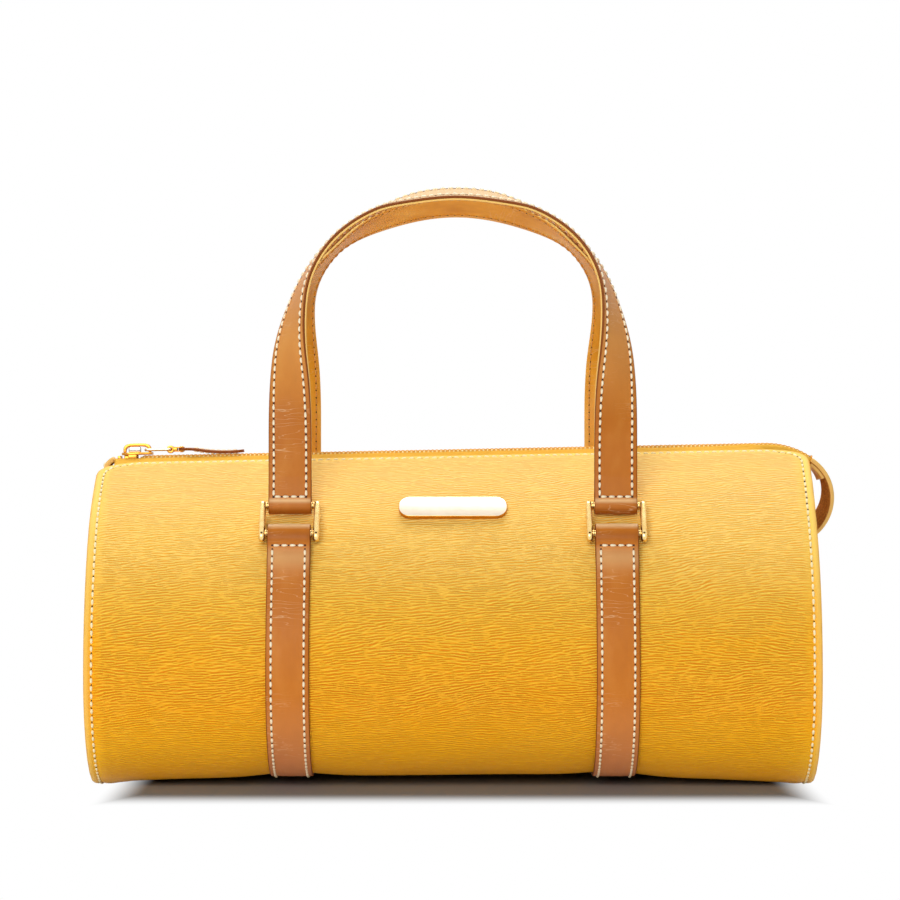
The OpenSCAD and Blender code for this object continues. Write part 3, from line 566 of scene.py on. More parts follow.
def handle_path(start, kind):
    """Places, outward normals and width directions of a handle, both legs starting above their pins."""
    upper = pin_centre(UPPER_ANGLE)
    arch_z = upper[2] + LEG
    steps = [(LEG_CURVE_R, -LEG_CURVE), (SHOULDER_R, -SHOULDER_ARC), (CROWN_R, -2 * CROWN_ARC),
             (SHOULDER_R, -SHOULDER_ARC), (LEG_CURVE_R, -LEG_CURVE)]
    arch = walk((-STRAP_X, arch_z), math.pi / 2, steps, 40)
    rise = np.arange(upper[2] + start, arch_z - 0.6, 1.3)
    left = np.stack([np.full(len(rise), -STRAP_X), rise, np.full(len(rise), math.pi / 2)], 1)
    line = np.concatenate([left, arch, left[::-1] * [-1, 1, -1]])
    x, z, h = line.T
    twist, top_twist, ease, extra = kind
    share = np.maximum(0, (z - arch_z) / ARCH_RISE)
    turn = (twist * smooth_step((z - upper[2] - TWIST_FROM) / TWIST_OVER)
            - (twist - top_twist) * smooth_step((share - ease) / (1 - ease)))
    y = upper[1] + (-ARCH_Y - upper[1]) * smooth_step(share)
    up = extra * smooth_step((z - upper[2] - FOLD_L) / (LEG - FOLD_L))
    tangent = np.stack([np.cos(h), np.zeros_like(h), np.sin(h)], -1)
    out = np.stack([-np.sin(h), np.zeros_like(h), np.cos(h)], -1)
    normal = np.cos(turn)[:, None] * np.array([0.0, -1.0, 0.0]) + np.sin(turn)[:, None] * out
    place_at = np.stack([x + ARCH_LEAN * smooth_step(share), y, z + up], -1)
    if extra:
        place_at += out * (BACK_SWELL * np.sin(math.pi * np.clip(share, 0, 1)) ** 2)[:, None]
    return place_at, normal, np.cross(tangent, normal)


def mirror_y(points):
    return np.asarray(points) * np.array([1.0, -1.0, 1.0])


def handle_fold(side):
    """The end of the tan ply: up behind, round the pin with some slack, and up the front of the leg."""
    upper = pin_centre(UPPER_ANGLE)
    behind = [(INNER_T + 0.1, FOLD_L - 0.8), (1.15, 7.5), (1.7, 3.6)]
    ring = [(LOOP_R * math.cos(a), -FOLD_SLACK - LOOP_R * math.sin(a))
            for a in np.linspace(math.radians(0), math.radians(184), 10)]
    up = [(-2.0, 3.0), (-1.5, 6.0), (-0.95, 9.0), (-OUTER_T / 2, FOLD_L + 0.4)]
    line = spline(behind + ring + up, 0.5)
    return np.stack([np.full(len(line), side * STRAP_X), upper[1] + line[:, 0], upper[2] + line[:, 1]], 1)


def make_handle(back, word, outer, inner, threads, inner_threads):
    body = f"{word}_carry_handle"
    kind = BACK_HANDLE if back else FRONT_HANDLE
    facing = mirror_y if back else np.asarray
    upper = pin_centre(UPPER_ANGLE)
    centre, normal, across = handle_path(FOLD_L + 1.6, kind)
    left, right = handle_fold(-1), handle_fold(1)
    path = np.concatenate([left, centre + normal * (OUTER_T / 2), right[::-1]])
    x_way = np.tile(X_WAY, (len(left), 1))
    ways = np.concatenate([x_way, across, -x_way])
    tangent = unit(np.gradient(path, axis=0))
    ways = unit(ways - (ways * tangent).sum(1, keepdims=True) * tangent)
    normals = unit(np.cross(ways, tangent))
    above = path[:, 2] - upper[2]
    # painted light on the folds: a painted highlight just above the pin, under the cross row, and painted
    # shade at the foot of the fold
    bend = 0.7 * hill(above, 2.2, 0.9) - 0.5 * smooth_step((-above - 0.2) / 1.8)
    obj = ribbon(f"{word}_handle_strap", facing(path), facing(ways), facing(normals), STRAP_W, OUTER_T,
                 outer, marks={"bend": bend})
    finish_piece(obj, body, "tan_leather", f"{word}_handle", f"{word}_handle_folds")

    c, n, a = handle_path(FOLD_L + 0.6, kind)
    obj = ribbon(f"{word}_handle_inside", facing(c - n * (INNER_T / 2)), facing(a), facing(-n), STRAP_W,
                 INNER_T - 0.02, inner, crown=0.05, round_r=0.3)
    finish_piece(obj, body, "handle_lining_leather", f"{word}_handle_lining")

    first = int(np.argmax((left[:, 1] < upper[1]) & (left[:, 2] > upper[2] + CROSS_ROW)))
    rows = slice(first, len(path) - first)
    c, n, a = handle_path(FOLD_L + 2.5, kind)
    for edge, letter in EDGES:
        points = path[rows] + ways[rows] * edge * STITCH_ROW + normals[rows] * (OUTER_T / 2 + 0.1)
        stitch_row(f"{word}_handle_outer_stitches_{letter}", facing(points), facing(normals[rows]), body,
                   "tan_leather", threads)
        points = c - n * (INNER_T + 0.04) + a * edge * STITCH_ROW
        stitch_row(f"{word}_handle_inner_stitches_{letter}", facing(points), facing(-n), body,
                   "handle_lining_leather", inner_threads, radius=0.34)
    for fold, label in ((left, "left"), (right, "right")):
        out = np.cross(X_WAY, unit(fold[first + 1] - fold[first - 1]))
        out = out * -np.sign(out[1])
        points = fold[first] + CROSS_ROW_V[:, None] * X_WAY + out * (OUTER_T / 2 + 0.1)
        stitch_row(f"{word}_handle_cross_{label}", facing(points), facing(np.tile(out, (len(points), 1))),
                   body, "tan_leather", threads)


# ---------------------------------------------------------------- metal

def prism(bm, outline, low, high, matrix=None):
    """Adds a straight-sided solid over a flat outline to bm, in millimetres."""
    bottom = [bm.verts.new((x, y, low)) for x, y in outline]
    top = [bm.verts.new((x, y, high)) for x, y in outline]
    n = len(outline)
    faces = [bm.faces.new(top), bm.faces.new(bottom[::-1])]
    faces += [bm.faces.new((bottom[i], bottom[(i + 1) % n], top[(i + 1) % n], top[i])) for i in range(n)]
    if matrix is not None:
        bmesh.ops.transform(bm, matrix=matrix, verts=bottom + top)
    return faces


def metal_piece(name, build, material, bevel, segments=3, matrix=Matrix.Identity(4)):
    """Solids drawn by build(bm) in millimetres, put in place by matrix, with rounded edges."""
    bm = bmesh.new()
    build(bm)
    bmesh.ops.recalc_face_normals(bm, faces=bm.faces)
    bmesh.ops.transform(bm, matrix=matrix, verts=bm.verts)
    bmesh.ops.translate(bm, vec=(-FRAME_SHIFT, 0, 0), verts=bm.verts)
    bmesh.ops.scale(bm, vec=(MM, MM, MM), verts=bm.verts)
    if matrix.determinant() < 0:
        bmesh.ops.reverse_faces(bm, faces=bm.faces)
    mesh = bpy.data.meshes.new(name)
    bm.to_mesh(mesh)
    bm.free()
    mesh.materials.append(material)
    obj = bpy.data.objects.new(name, mesh)
    bpy.context.scene.collection.objects.link(obj)
    if bevel:
        apply_modifiers(round_edges(obj, bevel, segments, 35))
    obj.data.shade_smooth()
    obj.data.set_sharp_from_angle(angle=math.radians(40))
    return obj


def circle(r, n=32, at=0):
    return [(at + r * math.cos(2 * math.pi * k / n), r * math.sin(2 * math.pi * k / n)) for k in range(n)]


def stadium(length, r, n=14):
    left = [(r * math.cos(a), r * math.sin(a)) for a in np.linspace(math.pi / 2, 3 * math.pi / 2, n)]
    right = [(length + r * math.cos(a), r * math.sin(a)) for a in np.linspace(-math.pi / 2, math.pi / 2, n)]
    return left + right


def corner_arcs(centres, r, n):
    """An outline of four quarter circles, from the corners' centres in turn."""
    return [(cx + r * math.cos(a), cy + r * math.sin(a))
            for quarter, (cx, cy) in enumerate(centres)
            for a in np.radians(np.linspace(quarter * 90, quarter * 90 + 90, n))]


def band(bm, outer, inner, low, high, matrix=Matrix.Identity(4), closed=False):
    """A ring, or an arch with its two feet, between two outlines with as many points."""
    o_lo, o_hi, i_lo, i_hi = ([bm.verts.new(matrix @ Vector((x, y, z))) for x, y in outline]
                              for outline in (outer, inner) for z in (low, high))
    n = len(outer)
    for k in range(n if closed else n - 1):
        j = (k + 1) % n
        bm.faces.new((o_lo[k], o_lo[j], o_hi[j], o_hi[k]))
        bm.faces.new((i_lo[j], i_lo[k], i_hi[k], i_hi[j]))
        bm.faces.new((o_lo[j], o_lo[k], i_lo[k], i_lo[j]))
        bm.faces.new((o_hi[k], o_hi[j], i_hi[j], i_hi[k]))
    if not closed:
        bm.faces.new((o_lo[0], o_hi[0], i_hi[0], i_lo[0]))
        bm.faces.new((o_hi[-1], o_lo[-1], i_lo[-1], i_hi[-1]))


UPRIGHT = Matrix.Rotation(math.pi / 2, 4, "X")
LINK_GAP = 20.8
BAR_T = 2.6
BAR_R = 2.5
BAR_PAST = 1.6
PIN_REACH = LINK_GAP / 2 + 1.7
COLLAR_R, COLLAR_T = 1.75, 0.8
# size and place of the dark spot on each link bar, a painted dark reflection
REFLECTION_SPOT_R, REFLECTION_SPOT_X = 0.5, -1.5


def make_link(side, label, word, pale_gold, bright, dark):
    """Two rounded side bars on two pins, with collars by the strap and a small dark spot on each bar's
    outer edge, a painted dark reflection.
    """
    link = f"{word}_{label}_link"
    lower, upper = pin_centre(LOWER_ANGLE), pin_centre(UPPER_ANGLE)
    turn = math.atan2(upper[2] - lower[2], upper[1] - lower[1])
    # local X runs from the lower pin to the upper one, local Z runs along the pins
    basis = Matrix(((0, 0, 1, side * STRAP_X),
                    (math.cos(turn), -math.sin(turn), 0, lower[1]),
                    (math.sin(turn), math.cos(turn), 0, lower[2]),
                    (0, 0, 0, 1)))
    if word == "back":
        basis = Matrix.Diagonal((1, -1, 1, 1)) @ basis

    def bars(bm):
        outline = [(x - BAR_PAST, y) for x, y in stadium(BAR_PAST + PIN_SPACING - 0.5, BAR_R)]
        for s in (-1, 1):
            prism(bm, outline, *sorted((s * LINK_GAP / 2, s * (LINK_GAP / 2 + BAR_T))))

    def pins(bm):
        for at in (0, PIN_SPACING):
            prism(bm, circle(PIN_R, at=at), -PIN_REACH, PIN_REACH)

    def collars(bm):
        for at in (0, PIN_SPACING):
            for s in (-1, 1):
                mid = s * (LINK_GAP / 2 - 0.5)
                prism(bm, circle(COLLAR_R, at=at), mid - COLLAR_T / 2, mid + COLLAR_T / 2)

    # a shallow dark disc on each bar's outer edge: a painted dark reflection
    def eyes(bm):
        for s in (-1, 1):
            spot_seat = Matrix.Translation((REFLECTION_SPOT_X, BAR_R - 0.12, s * (LINK_GAP + BAR_T) / 2)) @ UPRIGHT
            prism(bm, circle(REFLECTION_SPOT_R, 16), -0.16, 0.02, spot_seat)

    for piece, draw, material, bevel, segments, slot, nodes in (
            ("side_plates", bars, pale_gold, 1.15, 6, "gold_metal", [f"{link}_plates"]),
            ("round_pins", pins, bright, 0.3, 3, "bright_gold", [f"{link}_pins"]),
            ("collars", collars, bright, 0.3, 3, "bright_gold", []),
            ("dark_reflection_spots", eyes, dark, 0, 1, "gold_metal", [])):
        obj = metal_piece(f"{link}_{piece}", draw, material, bevel, segments, basis)
        finish_piece(obj, link, slot, *nodes)


# the bare plate on the front: length, height, thickness, corner radius and how far it lies up the slope
BADGE_L, BADGE_H, BADGE_T, BADGE_R = 47.0, 11.5, 2.0, 5.0
BADGE_RAISE = 1.4


def make_plate(polished, edge_metal):
    foot_r = SIDE_R + 0.3
    foot = (0, -SIDE_Y - foot_r * math.cos(UPPER_ANGLE), WIDEST_Z + foot_r * math.sin(UPPER_ANGLE))
    turned = Matrix.Translation(foot) @ Matrix.Rotation(math.pi / 2 - UPPER_ANGLE, 4, "X")
    seat = turned @ Matrix.Translation((0, BADGE_RAISE, 0))
    u, v = BADGE_L / 2 - BADGE_R, BADGE_H / 2 - BADGE_R
    outline = corner_arcs(((u, v), (-u, v), (-u, -v), (u, -v)), BADGE_R, 12)
    obj = metal_piece("bare_front_plate", lambda bm: prism(bm, outline, 0.0, BADGE_T), polished, 0.35, 4,
                      seat)
    obj.data.materials.append(edge_metal)
    up = (seat.to_3x3() @ Vector((0, 0, 1))).normalized()
    for p in obj.data.polygons:
        p.material_index = 0 if p.normal.dot(up) > 0.9 else 1
    finish_piece(obj, "bag", "polished_plate", "front_plate")


# ---------------------------------------------------------------- end panels

FLANGE_IN = 1.8
PANEL_X = 154.0
PANEL_IN = 7.0
PANEL_MID_Z = 72
# the pan's outer side from its inner edge over the flange and the rim: inset and place along the barrel
PAN_RINGS = [(3.2, 150.0), (1.95, 150.0), (FLANGE_IN, 150.2), (FLANGE_IN, 153), (FLANGE_IN, 156.8),
             (1.95, 157.35), (2.5, 157.5), (3.05, 157.35), (3.2, 156.8), (3.25, 155.9), (3.5, 155.1),
             (4.1, 154.45), (5.2, 154.15), (PANEL_IN, PANEL_X)]


def end_line(side, inset, s):
    """The end panel's outline at the inset given, cut flat below the zip."""
    y, z, _, _ = section(s, inset)
    cap = HEIGHT + side * HALF_L * math.tan(SLOPE) - 4.5 - (inset - FLANGE_IN)
    return y, np.minimum(settle(np.full_like(y, side * HALF_L), z), cap)


def make_end_panel(side, label, material):
    """A thin leather pan: the flange at its rim is the one that the rim seam goes through."""
    s = np.linspace(0, S_ALL, 420, endpoint=False) + 0.5
    points = []

    def ring(x, y, z):
        points.append(np.stack([np.broadcast_to(side * x, y.shape), y, z], -1))

    for inset, x in PAN_RINGS:
        y, z = end_line(side, inset, s)
        notch = smooth_step((6.9 - np.abs(y)) / 0.5) * (z > HEIGHT - 12)
        ring(np.where(notch > 0, np.minimum(x, x + (153.6 - x) * notch), x), y, z)
    y, z = end_line(side, PANEL_IN, s)
    for f in np.concatenate([np.linspace(0.97, 0.25, 26), [0.12, 0.002]]):
        yy, zz = y * f, PANEL_MID_Z + (z - PANEL_MID_Z) * f
        sag = 0.35 * np.sin(yy / 19 + 0.6) * np.sin(zz / 23) * (1 - f) ** 0.3
        ring(PANEL_X + sag, yy, zz)
    for f in (0.002, 0.5, 0.9):
        ring(152.6, y * f, PANEL_MID_Z + (z - PANEL_MID_Z) * f)
    for inset, x in ((3.9, 152.4), (3.2, 151.8)):
        ring(x, *end_line(side, inset, s))
    p = np.concatenate(points)
    faces = grid_faces(len(points), len(s), close_cols=True).tolist() + closing_faces(len(points), len(s))
    rim = np.stack(end_line(side, 0, s), 1)
    far = np.concatenate([np.linalg.norm(part[:, None] - rim[None], axis=2).min(1)
                          for part in np.array_split(p[:, 1:], 60)])
    obj = new_mesh(f"end_panel_{label}", p, faces, material, uv=p[:, 1:], marks={"edge": far - 3.5})
    finish_piece(fix_normals(obj), "bag", "yellow_leather", f"{label}_end_panel")


# ---------------------------------------------------------------- zip

# where the coil's straight part ends, and the arc by which its tail bends down
SEWN_X = 140.0
TAIL_R = 34.0
TAIL_BEND = math.radians(36)
TAIL_END = SEWN_X + TAIL_R * TAIL_BEND
TAPE_END = 151.3
COIL_H = 1.9
COIL_PITCH = 1.9
COIL_R = 0.4
CORD_R = 0.24
SLIDER_X = 141.5
ZIP_MATRIX = Matrix.Translation((0, 0, HEIGHT)) @ Matrix.Rotation(-SLOPE, 4, "Y")


def on_zip(u, y, h):
    """Zip-line points: u along the coil (bending down past the right end), y across, h above the tape."""
    u, y, h = np.broadcast_arrays(np.asarray(u, float), np.asarray(y, float), np.asarray(h, float))
    a = np.maximum(0, u - SEWN_X) / TAIL_R
    x = np.where(u > SEWN_X, SEWN_X + (TAIL_R + h) * np.sin(a), u)
    z = np.where(u > SEWN_X, (TAIL_R + h) * np.cos(a) - TAIL_R, h)
    c, s = math.cos(SLOPE), math.sin(SLOPE)
    return np.stack([x * c - z * s, y, HEIGHT + x * s + z * c], -1)


def tube(path, radius, sides=8, closed=False):
    """Points and faces of a round wire along a path."""
    p = np.asarray(path, float)
    tangent = unit(np.roll(p, -1, 0) - np.roll(p, 1, 0) if closed else np.gradient(p, axis=0))
    ref = np.array([0.0, 0, 1]) if abs(tangent[0][2]) < 0.9 else np.array([0.0, 1, 0])
    n1 = unit(np.cross(tangent[0], ref))
    normals = []
    for t in tangent:
        n1 = unit(n1 - t * (n1 @ t))
        normals.append(n1)
    normals = np.array(normals)
    ring = around(normals, np.cross(tangent, normals), sides)
    faces = grid_faces(len(p), sides, close_cols=True).tolist()
    faces += closing_faces(len(p), sides) if closed else end_caps(len(p), sides)
    return (p[:, None] + ring * radius).reshape(-1, 3), faces


def coil_path(side, phase):
    """One row of the coil: a wound filament whose heads reach past the middle of the zip."""
    # one turn, as share of the turn, distance from the zip's middle and height over the tape
    turn = [(0.00, 3.30, 0.45), (0.06, 3.42, 0.75), (0.12, 3.2, 1.1), (0.22, 2.2, 1.22), (0.32, 0.8, 1.22),
            (0.38, -0.35, 1.22), (0.43, -0.85, 1.1), (0.50, -1.0, 0.8), (0.57, -0.85, 0.5),
            (0.62, -0.35, 0.38), (0.70, 0.8, 0.38), (0.82, 2.2, 0.38), (0.92, 3.0, 0.4)]
    first = -SLIDER_X + 2.2
    path = []
    for k in range(int((TAIL_END - 1.2 - first) / COIL_PITCH)):
        for f, y, h in turn:
            # the upper leg runs nearly square to the zip, and the lower one leads on to the next turn
            ahead = (f * 0.35 if f < 0.5 else 0.175 + (f - 0.5) * 1.65) * COIL_PITCH
            spread = 0.15 * math.sin(2 * math.pi * f)
            path.append((first + (k + phase) * COIL_PITCH + ahead + spread, side * y, h))
    return on_zip(*np.array(path).T)


def make_zip(coil, tape, cord, gold):
    for (side, _), (_, word), phase in zip(SIDES, FACES, (0.5, 0.0)):
        obj = new_mesh(f"{word}_coil_row", *tube(coil_path(side, phase), COIL_R), coil)
        finish_piece(obj, "bag", "zip_coil", f"{word}_zip_teeth")
        u = np.arange(-SLIDER_X + 3, TAIL_END - 1, 0.5)
        wave = 0.14 * np.sin(2 * math.pi * u / COIL_PITCH)
        for k, (y, h) in enumerate(((1.95, 1.6), (2.75, 1.56))):
            obj = new_mesh(f"{word}_coil_cord_{k}", *tube(on_zip(u, side * y, h + wave), CORD_R, 6), cord)
            finish_piece(obj, "bag", "zip_coil")
        make_coil_core(side, word, cord)
        make_tape(side, word, tape)

    def stop(bm):
        prism(bm, [(-0.8, 0), (0.8, 0), (0.8, COIL_H), (-0.8, COIL_H)], -1.4, 1.4)

    for k, s in enumerate((-1, 1)):
        seat = ZIP_MATRIX @ Matrix.Translation((-SLIDER_X - 7.9, s * 2.1, 0)) @ UPRIGHT
        obj = metal_piece(f"zip_top_stop_{k}", stop, gold, 0.35, 3, seat)
        finish_piece(obj, "bag", "gold_metal", "zip_top_stops")
    at = TAIL_END - 1.6 * TAIL_R * math.pi / 180 + 0.5
    a = np.linspace(-1, 1, 15)
    bar = on_zip(at, a * 3.6, COIL_H + 0.32 - 0.9 * np.abs(a) ** 4)
    obj = new_mesh("zip_bottom_stop_bar", *tube(bar, 0.42), gold)
    finish_piece(obj, "bag", "gold_metal", "zip_bottom_stop")


def make_coil_core(side, word, material):
    """The flat cord inside a coil row, which closes the view through its turns."""
    u = np.arange(-SLIDER_X + 1.5, TAIL_END - 0.6, 0.9)
    outline = [(-0.3, 0.35), (-0.3, 1.1), (0.0, 1.3), (2.9, 1.3), (3.25, 1.1), (3.25, 0.35)]
    p = np.stack([on_zip(u, side * y, h) for y, h in outline], 1).reshape(-1, 3)
    faces = grid_faces(len(u), len(outline), close_cols=True).tolist() + end_caps(len(u), len(outline))
    obj = new_mesh(f"{word}_coil_core", p, faces, material, uv=grid_uv(u, [y for y, _ in outline]))
    finish_piece(fix_normals(obj), "bag", "zip_coil")


def under_leather(y):
    return math.sqrt((TOP_R - LEATHER_T) ** 2 - y * y) - TOP_R - 0.2


def make_tape(side, word, material):
    """Woven tape: flat under the coil, with a raised rib beside it, then down under the leather. Towards
    its tail it narrows and droops."""
    u = np.concatenate([np.arange(-TAPE_END, SEWN_X, 1.4), np.linspace(SEWN_X, TAIL_END, 26)])
    flat = [(0.7, 0.0), (1.2, 0.02), (2.4, 0.0), (3.9, 0.0), (4.35, 0.12), (4.8, 0.14), (5.2, 0.02),
            (5.7, -0.1)]
    slope = [(y, under_leather(y) * smooth_step((y - 5.4) / 3.6) ** 0.8) for y in (6.4, 7.2, 8.0, 8.8)]
    deep = [(y, under_leather(y)) for y in (9.6, 11, 13, 14.8, 16.5)]
    profile = np.array(flat + slope + deep)
    spread = np.linspace(0.7, 8.2, len(profile))
    narrow = np.stack([spread, -4.6 * smooth_step((spread - 4.9) / 3.3)], 1)
    rows = []
    for uu in u:
        share = smooth_step((uu - SEWN_X + 9) / 9)
        y, h = (profile * (1 - share) + narrow * share).T
        pucker = (0.6 + 0.7 * smooth_step((uu - 112) / 24)) * hill(y, 4.7, 0.8)
        rows.append(on_zip(uu, side * y, h - 0.02 + 0.05 * math.sin(uu / 9.0) + pucker))
    faces = grid_faces(len(u), len(profile))
    obj = new_mesh(f"{word}_woven_tape", np.array(rows), faces[:, ::-1] if side > 0 else faces, material,
                   uv=grid_uv(u, profile[:, 0]))
    apply_modifiers(thicken(obj, 0.55))
    finish_piece(obj, "bag", "zip_tape", f"{word}_zip_tape")


# ---------------------------------------------------------------- zip ends

def walk(at, heading, steps, parts=10):
    """A plane path of arcs (radius, turn) and straights (0, length), as x, z and heading."""
    x, z, h = at[0], at[1], heading
    out = []
    for r, amount in steps:
        s = math.copysign(1, amount)
        for k in range(parts + 1):
            if r == 0:
                d = amount * k / parts
                out.append((x + d * math.cos(h), z + d * math.sin(h), h))
            else:
                a = h + amount * k / parts
                out.append((x + s * r * (math.sin(a) - math.sin(h)),
                            z - s * r * (math.cos(a) - math.cos(h)), a))
        x, z, h = out.pop()
    out.append((x, z, h))
    return np.array(out)


TAB_W = 12.0
TAB_T = 2.2
TAB_LEVEL = COIL_H / 2 - 0.6
TAB_SEWN = PANEL_X + 0.1 + TAB_T / 2
BOW_R = 18.5


def tongue(name, line, mirror, lean, materials):
    """A leather tongue along a line of x, z and heading, with mirror -1 at the left end. It leans by the
    angles given. Returns its object, places, width directions and outward normals."""
    x, z, h = line.T
    centre = in_plane(mirror * (x - 0.8 * np.sin(lean) ** 2), z)
    tangent = in_plane(mirror * np.cos(h), np.sin(h))
    level = np.tile([0.0, 1.0, 0.0], (len(line), 1))
    across = level * np.cos(lean)[:, None] + np.cross(tangent, level) * np.sin(lean)[:, None]
    normal = unit(np.cross(across, tangent))
    if normal[2][2] < 0:
        normal = -normal
    row = spline(np.concatenate([centre, across, normal], 1), 0.9)
    at, way, out = row[:, :3], unit(row[:, 3:6]), unit(row[:, 6:])
    obj = ribbon(name, at, way, out, TAB_W, TAB_T, materials, crown=0.15, round_r=0.6)
    # the faces that look outwards get the first material, the rest the second
    per = len(obj.data.vertices) // len(row)
    for poly in obj.data.polygons:
        k = min(poly.vertices[0] // per, len(row) - 1)
        poly.material_index = 0 if poly.normal.dot(Vector(row[k, 6:])) > -0.35 else 1
    return obj, at, way, out


def make_loop(materials):
    """The right loop: out over the end, down in a bow, and back to the end panel."""
    end = (SEWN_X + (TAIL_R + TAB_LEVEL) * math.sin(TAIL_BEND) + 0.1,
           (TAIL_R + TAB_LEVEL) * math.cos(TAIL_BEND) - TAIL_R)
    c, s = math.cos(SLOPE), math.sin(SLOPE)
    start = (end[0] * c - end[1] * s, HEIGHT + end[0] * s + end[1] * c)
    heading = SLOPE - TAIL_BEND
    bow_x = start[0] + BOW_R * (math.sin(heading) + 1)
    back = math.radians(50)
    slant = (bow_x - 28 * (1 - math.cos(back)) - TAB_SEWN) / math.sin(back)
    steps = [(BOW_R, -math.pi / 2 - heading), (20, -back), (0, slant), (8, back), (0, 10)]
    line = walk(start, heading, steps, 9)
    lean = np.radians(-30 * np.sin(np.linspace(0, math.pi, len(line))) ** 1.5)
    obj, at, way, out = tongue("right_zip_tongue", line, 1, lean, materials)
    finish_piece(obj, "bag", "yellow_leather", "right_zip_loop")
    under = slice(1, 12)
    at, way, out = at[under], way[under], out[under]
    fold = ribbon("right_zip_tongue_fold", at - out * (TAB_T / 2 + 0.75), way, out, TAB_W, 1.5,
                  materials[0], crown=0.05, round_r=0.6)
    finish_piece(fold, "bag", "yellow_leather")


def make_tab(materials, threads):
    """The left tab: over the end and down on to the end panel."""
    heading = math.radians(25)
    x0 = -TAPE_END - 0.1 - TAB_T / 2 * math.sin(heading)
    c, s = math.cos(SLOPE), math.sin(SLOPE)
    start = (x0 * c - TAB_LEVEL * s, HEIGHT + x0 * s + TAB_LEVEL * c)
    bend = (TAB_SEWN + start[0]) / (1 - math.sin(heading))
    line = walk((-start[0], start[1]), -heading, [(bend, heading - math.pi / 2), (0, 17)], 12)
    obj, at, way, out = tongue("left_zip_tongue", line, -1, np.zeros(len(line)), materials)
    finish_piece(obj, "bag", "yellow_leather", "left_zip_tab")
    rows = slice(3, len(at) * 2 // 5)
    for edge, letter in EDGES:
        points = at[rows] + way[rows] * edge * (TAB_W / 2 - 1.9) + out[rows] * (TAB_T / 2 + 0.05)
        stitch_row(f"left_zip_tongue_stitches_{letter}", points, out[rows], "bag", "yellow_leather",
                   threads)


# ---------------------------------------------------------------- slider and pull

SLIDER_L, SLIDER_W = 14.0, 9.8
SLIDER_LIFT = COIL_H + 0.2
SLIDER_TOP = SLIDER_LIFT + 1.2
RING_X, RING_L, RING_R = 3.9, 11.0, 0.65
RING_Z = SLIDER_TOP + RING_R + 0.35
RING_Y = 2.2 + RING_R
SLIDER_MATRIX = ZIP_MATRIX @ Matrix.Translation((-SLIDER_X, 0, 0))
PULL_MATRIX = SLIDER_MATRIX @ Matrix.Translation((RING_X + RING_L, 0, RING_Z))


def box(x0, x1, y0, y1):
    return [(x0, y0), (x1, y0), (x1, y1), (x0, y1)]


def make_slider(gold, silver):
    half = spline([(-1, 0.0), (-0.99, 0.45), (-0.9, 0.78), (-0.55, 1.0), (0, 1.0), (0.5, 0.9), (0.93, 0.8),
                   (1.0, 0.55), (1.0, 0.0)], 0.09)
    outline = np.concatenate([half, (half * [1, -1])[::-1][1:-1]])[::-1] * [SLIDER_L / 2, SLIDER_W / 2]

    def shell(bm):
        prism(bm, outline, SLIDER_LIFT, SLIDER_TOP)
        prism(bm, outline, -2.05, -0.85)
        # the bridge that parts the rows, and the two side walls
        prism(bm, box(-6, -1, -0.5, 0.5), -1.4, SLIDER_LIFT + 0.3)
        for s in (-1, 1):
            y0, y1 = sorted((s * (SLIDER_W / 2 - 0.75), s * SLIDER_W / 2))
            prism(bm, box(-3.8, 0, y0, y1), 0.35, SLIDER_LIFT + 0.3)

    def arch(bm):
        outer, inner = [], []
        for a in np.linspace(0, math.pi, 41):
            c = math.copysign(abs(math.cos(a)) ** 0.55, math.cos(a))
            s = math.sin(a) ** 0.55 if 0 < a < math.pi else 0
            outer.append((6.3 * c, 4.0 * s))
            inner.append((4.9 * c, 2.6 * s))
        band(bm, outer, inner, -1.2, 1.2)

    def block(bm):
        prism(bm, [(-3.9, 0), (1.6, 0), (1.6, 2.0), (0.9, 2.6), (-3.2, 2.6), (-3.9, 2.0)], -1.0, 1.0)

    stand = SLIDER_MATRIX @ Matrix.Translation((0, 0, SLIDER_TOP)) @ UPRIGHT
    obj = metal_piece("slider_shell", shell, gold, 0.28, 3, SLIDER_MATRIX)
    finish_piece(obj, "slider", "gold_metal", "slider_body")
    obj = metal_piece("slider_arch", arch, gold, 0.3, 3, stand)
    finish_piece(obj, "slider", "gold_metal", "slider_bail")
    obj = metal_piece("slider_latch_block", block, silver, 0.3, 3, stand)
    finish_piece(obj, "slider", "gold_metal")


def transformed(points, matrix):
    m = np.array(matrix)
    return np.asarray(points, float) @ m[:3, :3].T + m[:3, 3]


def make_pull(ring_metal, gold, bright, leather, threads):
    corner = 0.9
    x0, x1, y = corner, RING_L - corner, RING_Y - corner
    ring = [(*at, 0.0) for at in corner_arcs(((x1, y), (x0, y), (x0, -y), (x1, -y)), corner, 8)]
    ring = transformed(ring, SLIDER_MATRIX @ Matrix.Translation((RING_X, 0, RING_Z)))
    obj = fix_normals(new_mesh("pull_wire_ring", *tube(ring, RING_R, 14, closed=True), ring_metal))
    finish_piece(obj, "pull_link", "bright_gold", "pull_ring")

    def clasp(bm):
        # a sleeve on the ring's far bar, two cheeks and a web between them
        band(bm, circle(1.75, 36), circle(RING_R + 0.1, 36), -1.9, 1.9, UPRIGHT, closed=True)
        cheek = [(1.35, -2.2), (2.0, -3.2), (6.15, -3.2), (6.15, 3.2), (2.0, 3.2), (1.35, 2.2)]
        for low, high in ((0.66, 1.1), (-1.1, -0.66)):
            prism(bm, cheek, low, high)
        prism(bm, box(1.4, 3.2, -3.0, 3.0), -0.8, 0.8)

    def rivet(bm):
        for low, high in ((1.05, 1.38), (-1.38, -1.05)):
            prism(bm, circle(0.75, 20, at=4.95), low, high)

    obj = metal_piece("pull_clasp_shell", clasp, gold, 0.18, 3, PULL_MATRIX)
    finish_piece(obj, "pull", "gold_metal", "pull_clasp")
    obj = metal_piece("pull_round_rivet", rivet, bright, 0.2, 4, PULL_MATRIX)
    finish_piece(obj, "pull", "bright_gold", "pull_rivet")
    make_pull_leather(leather, threads)


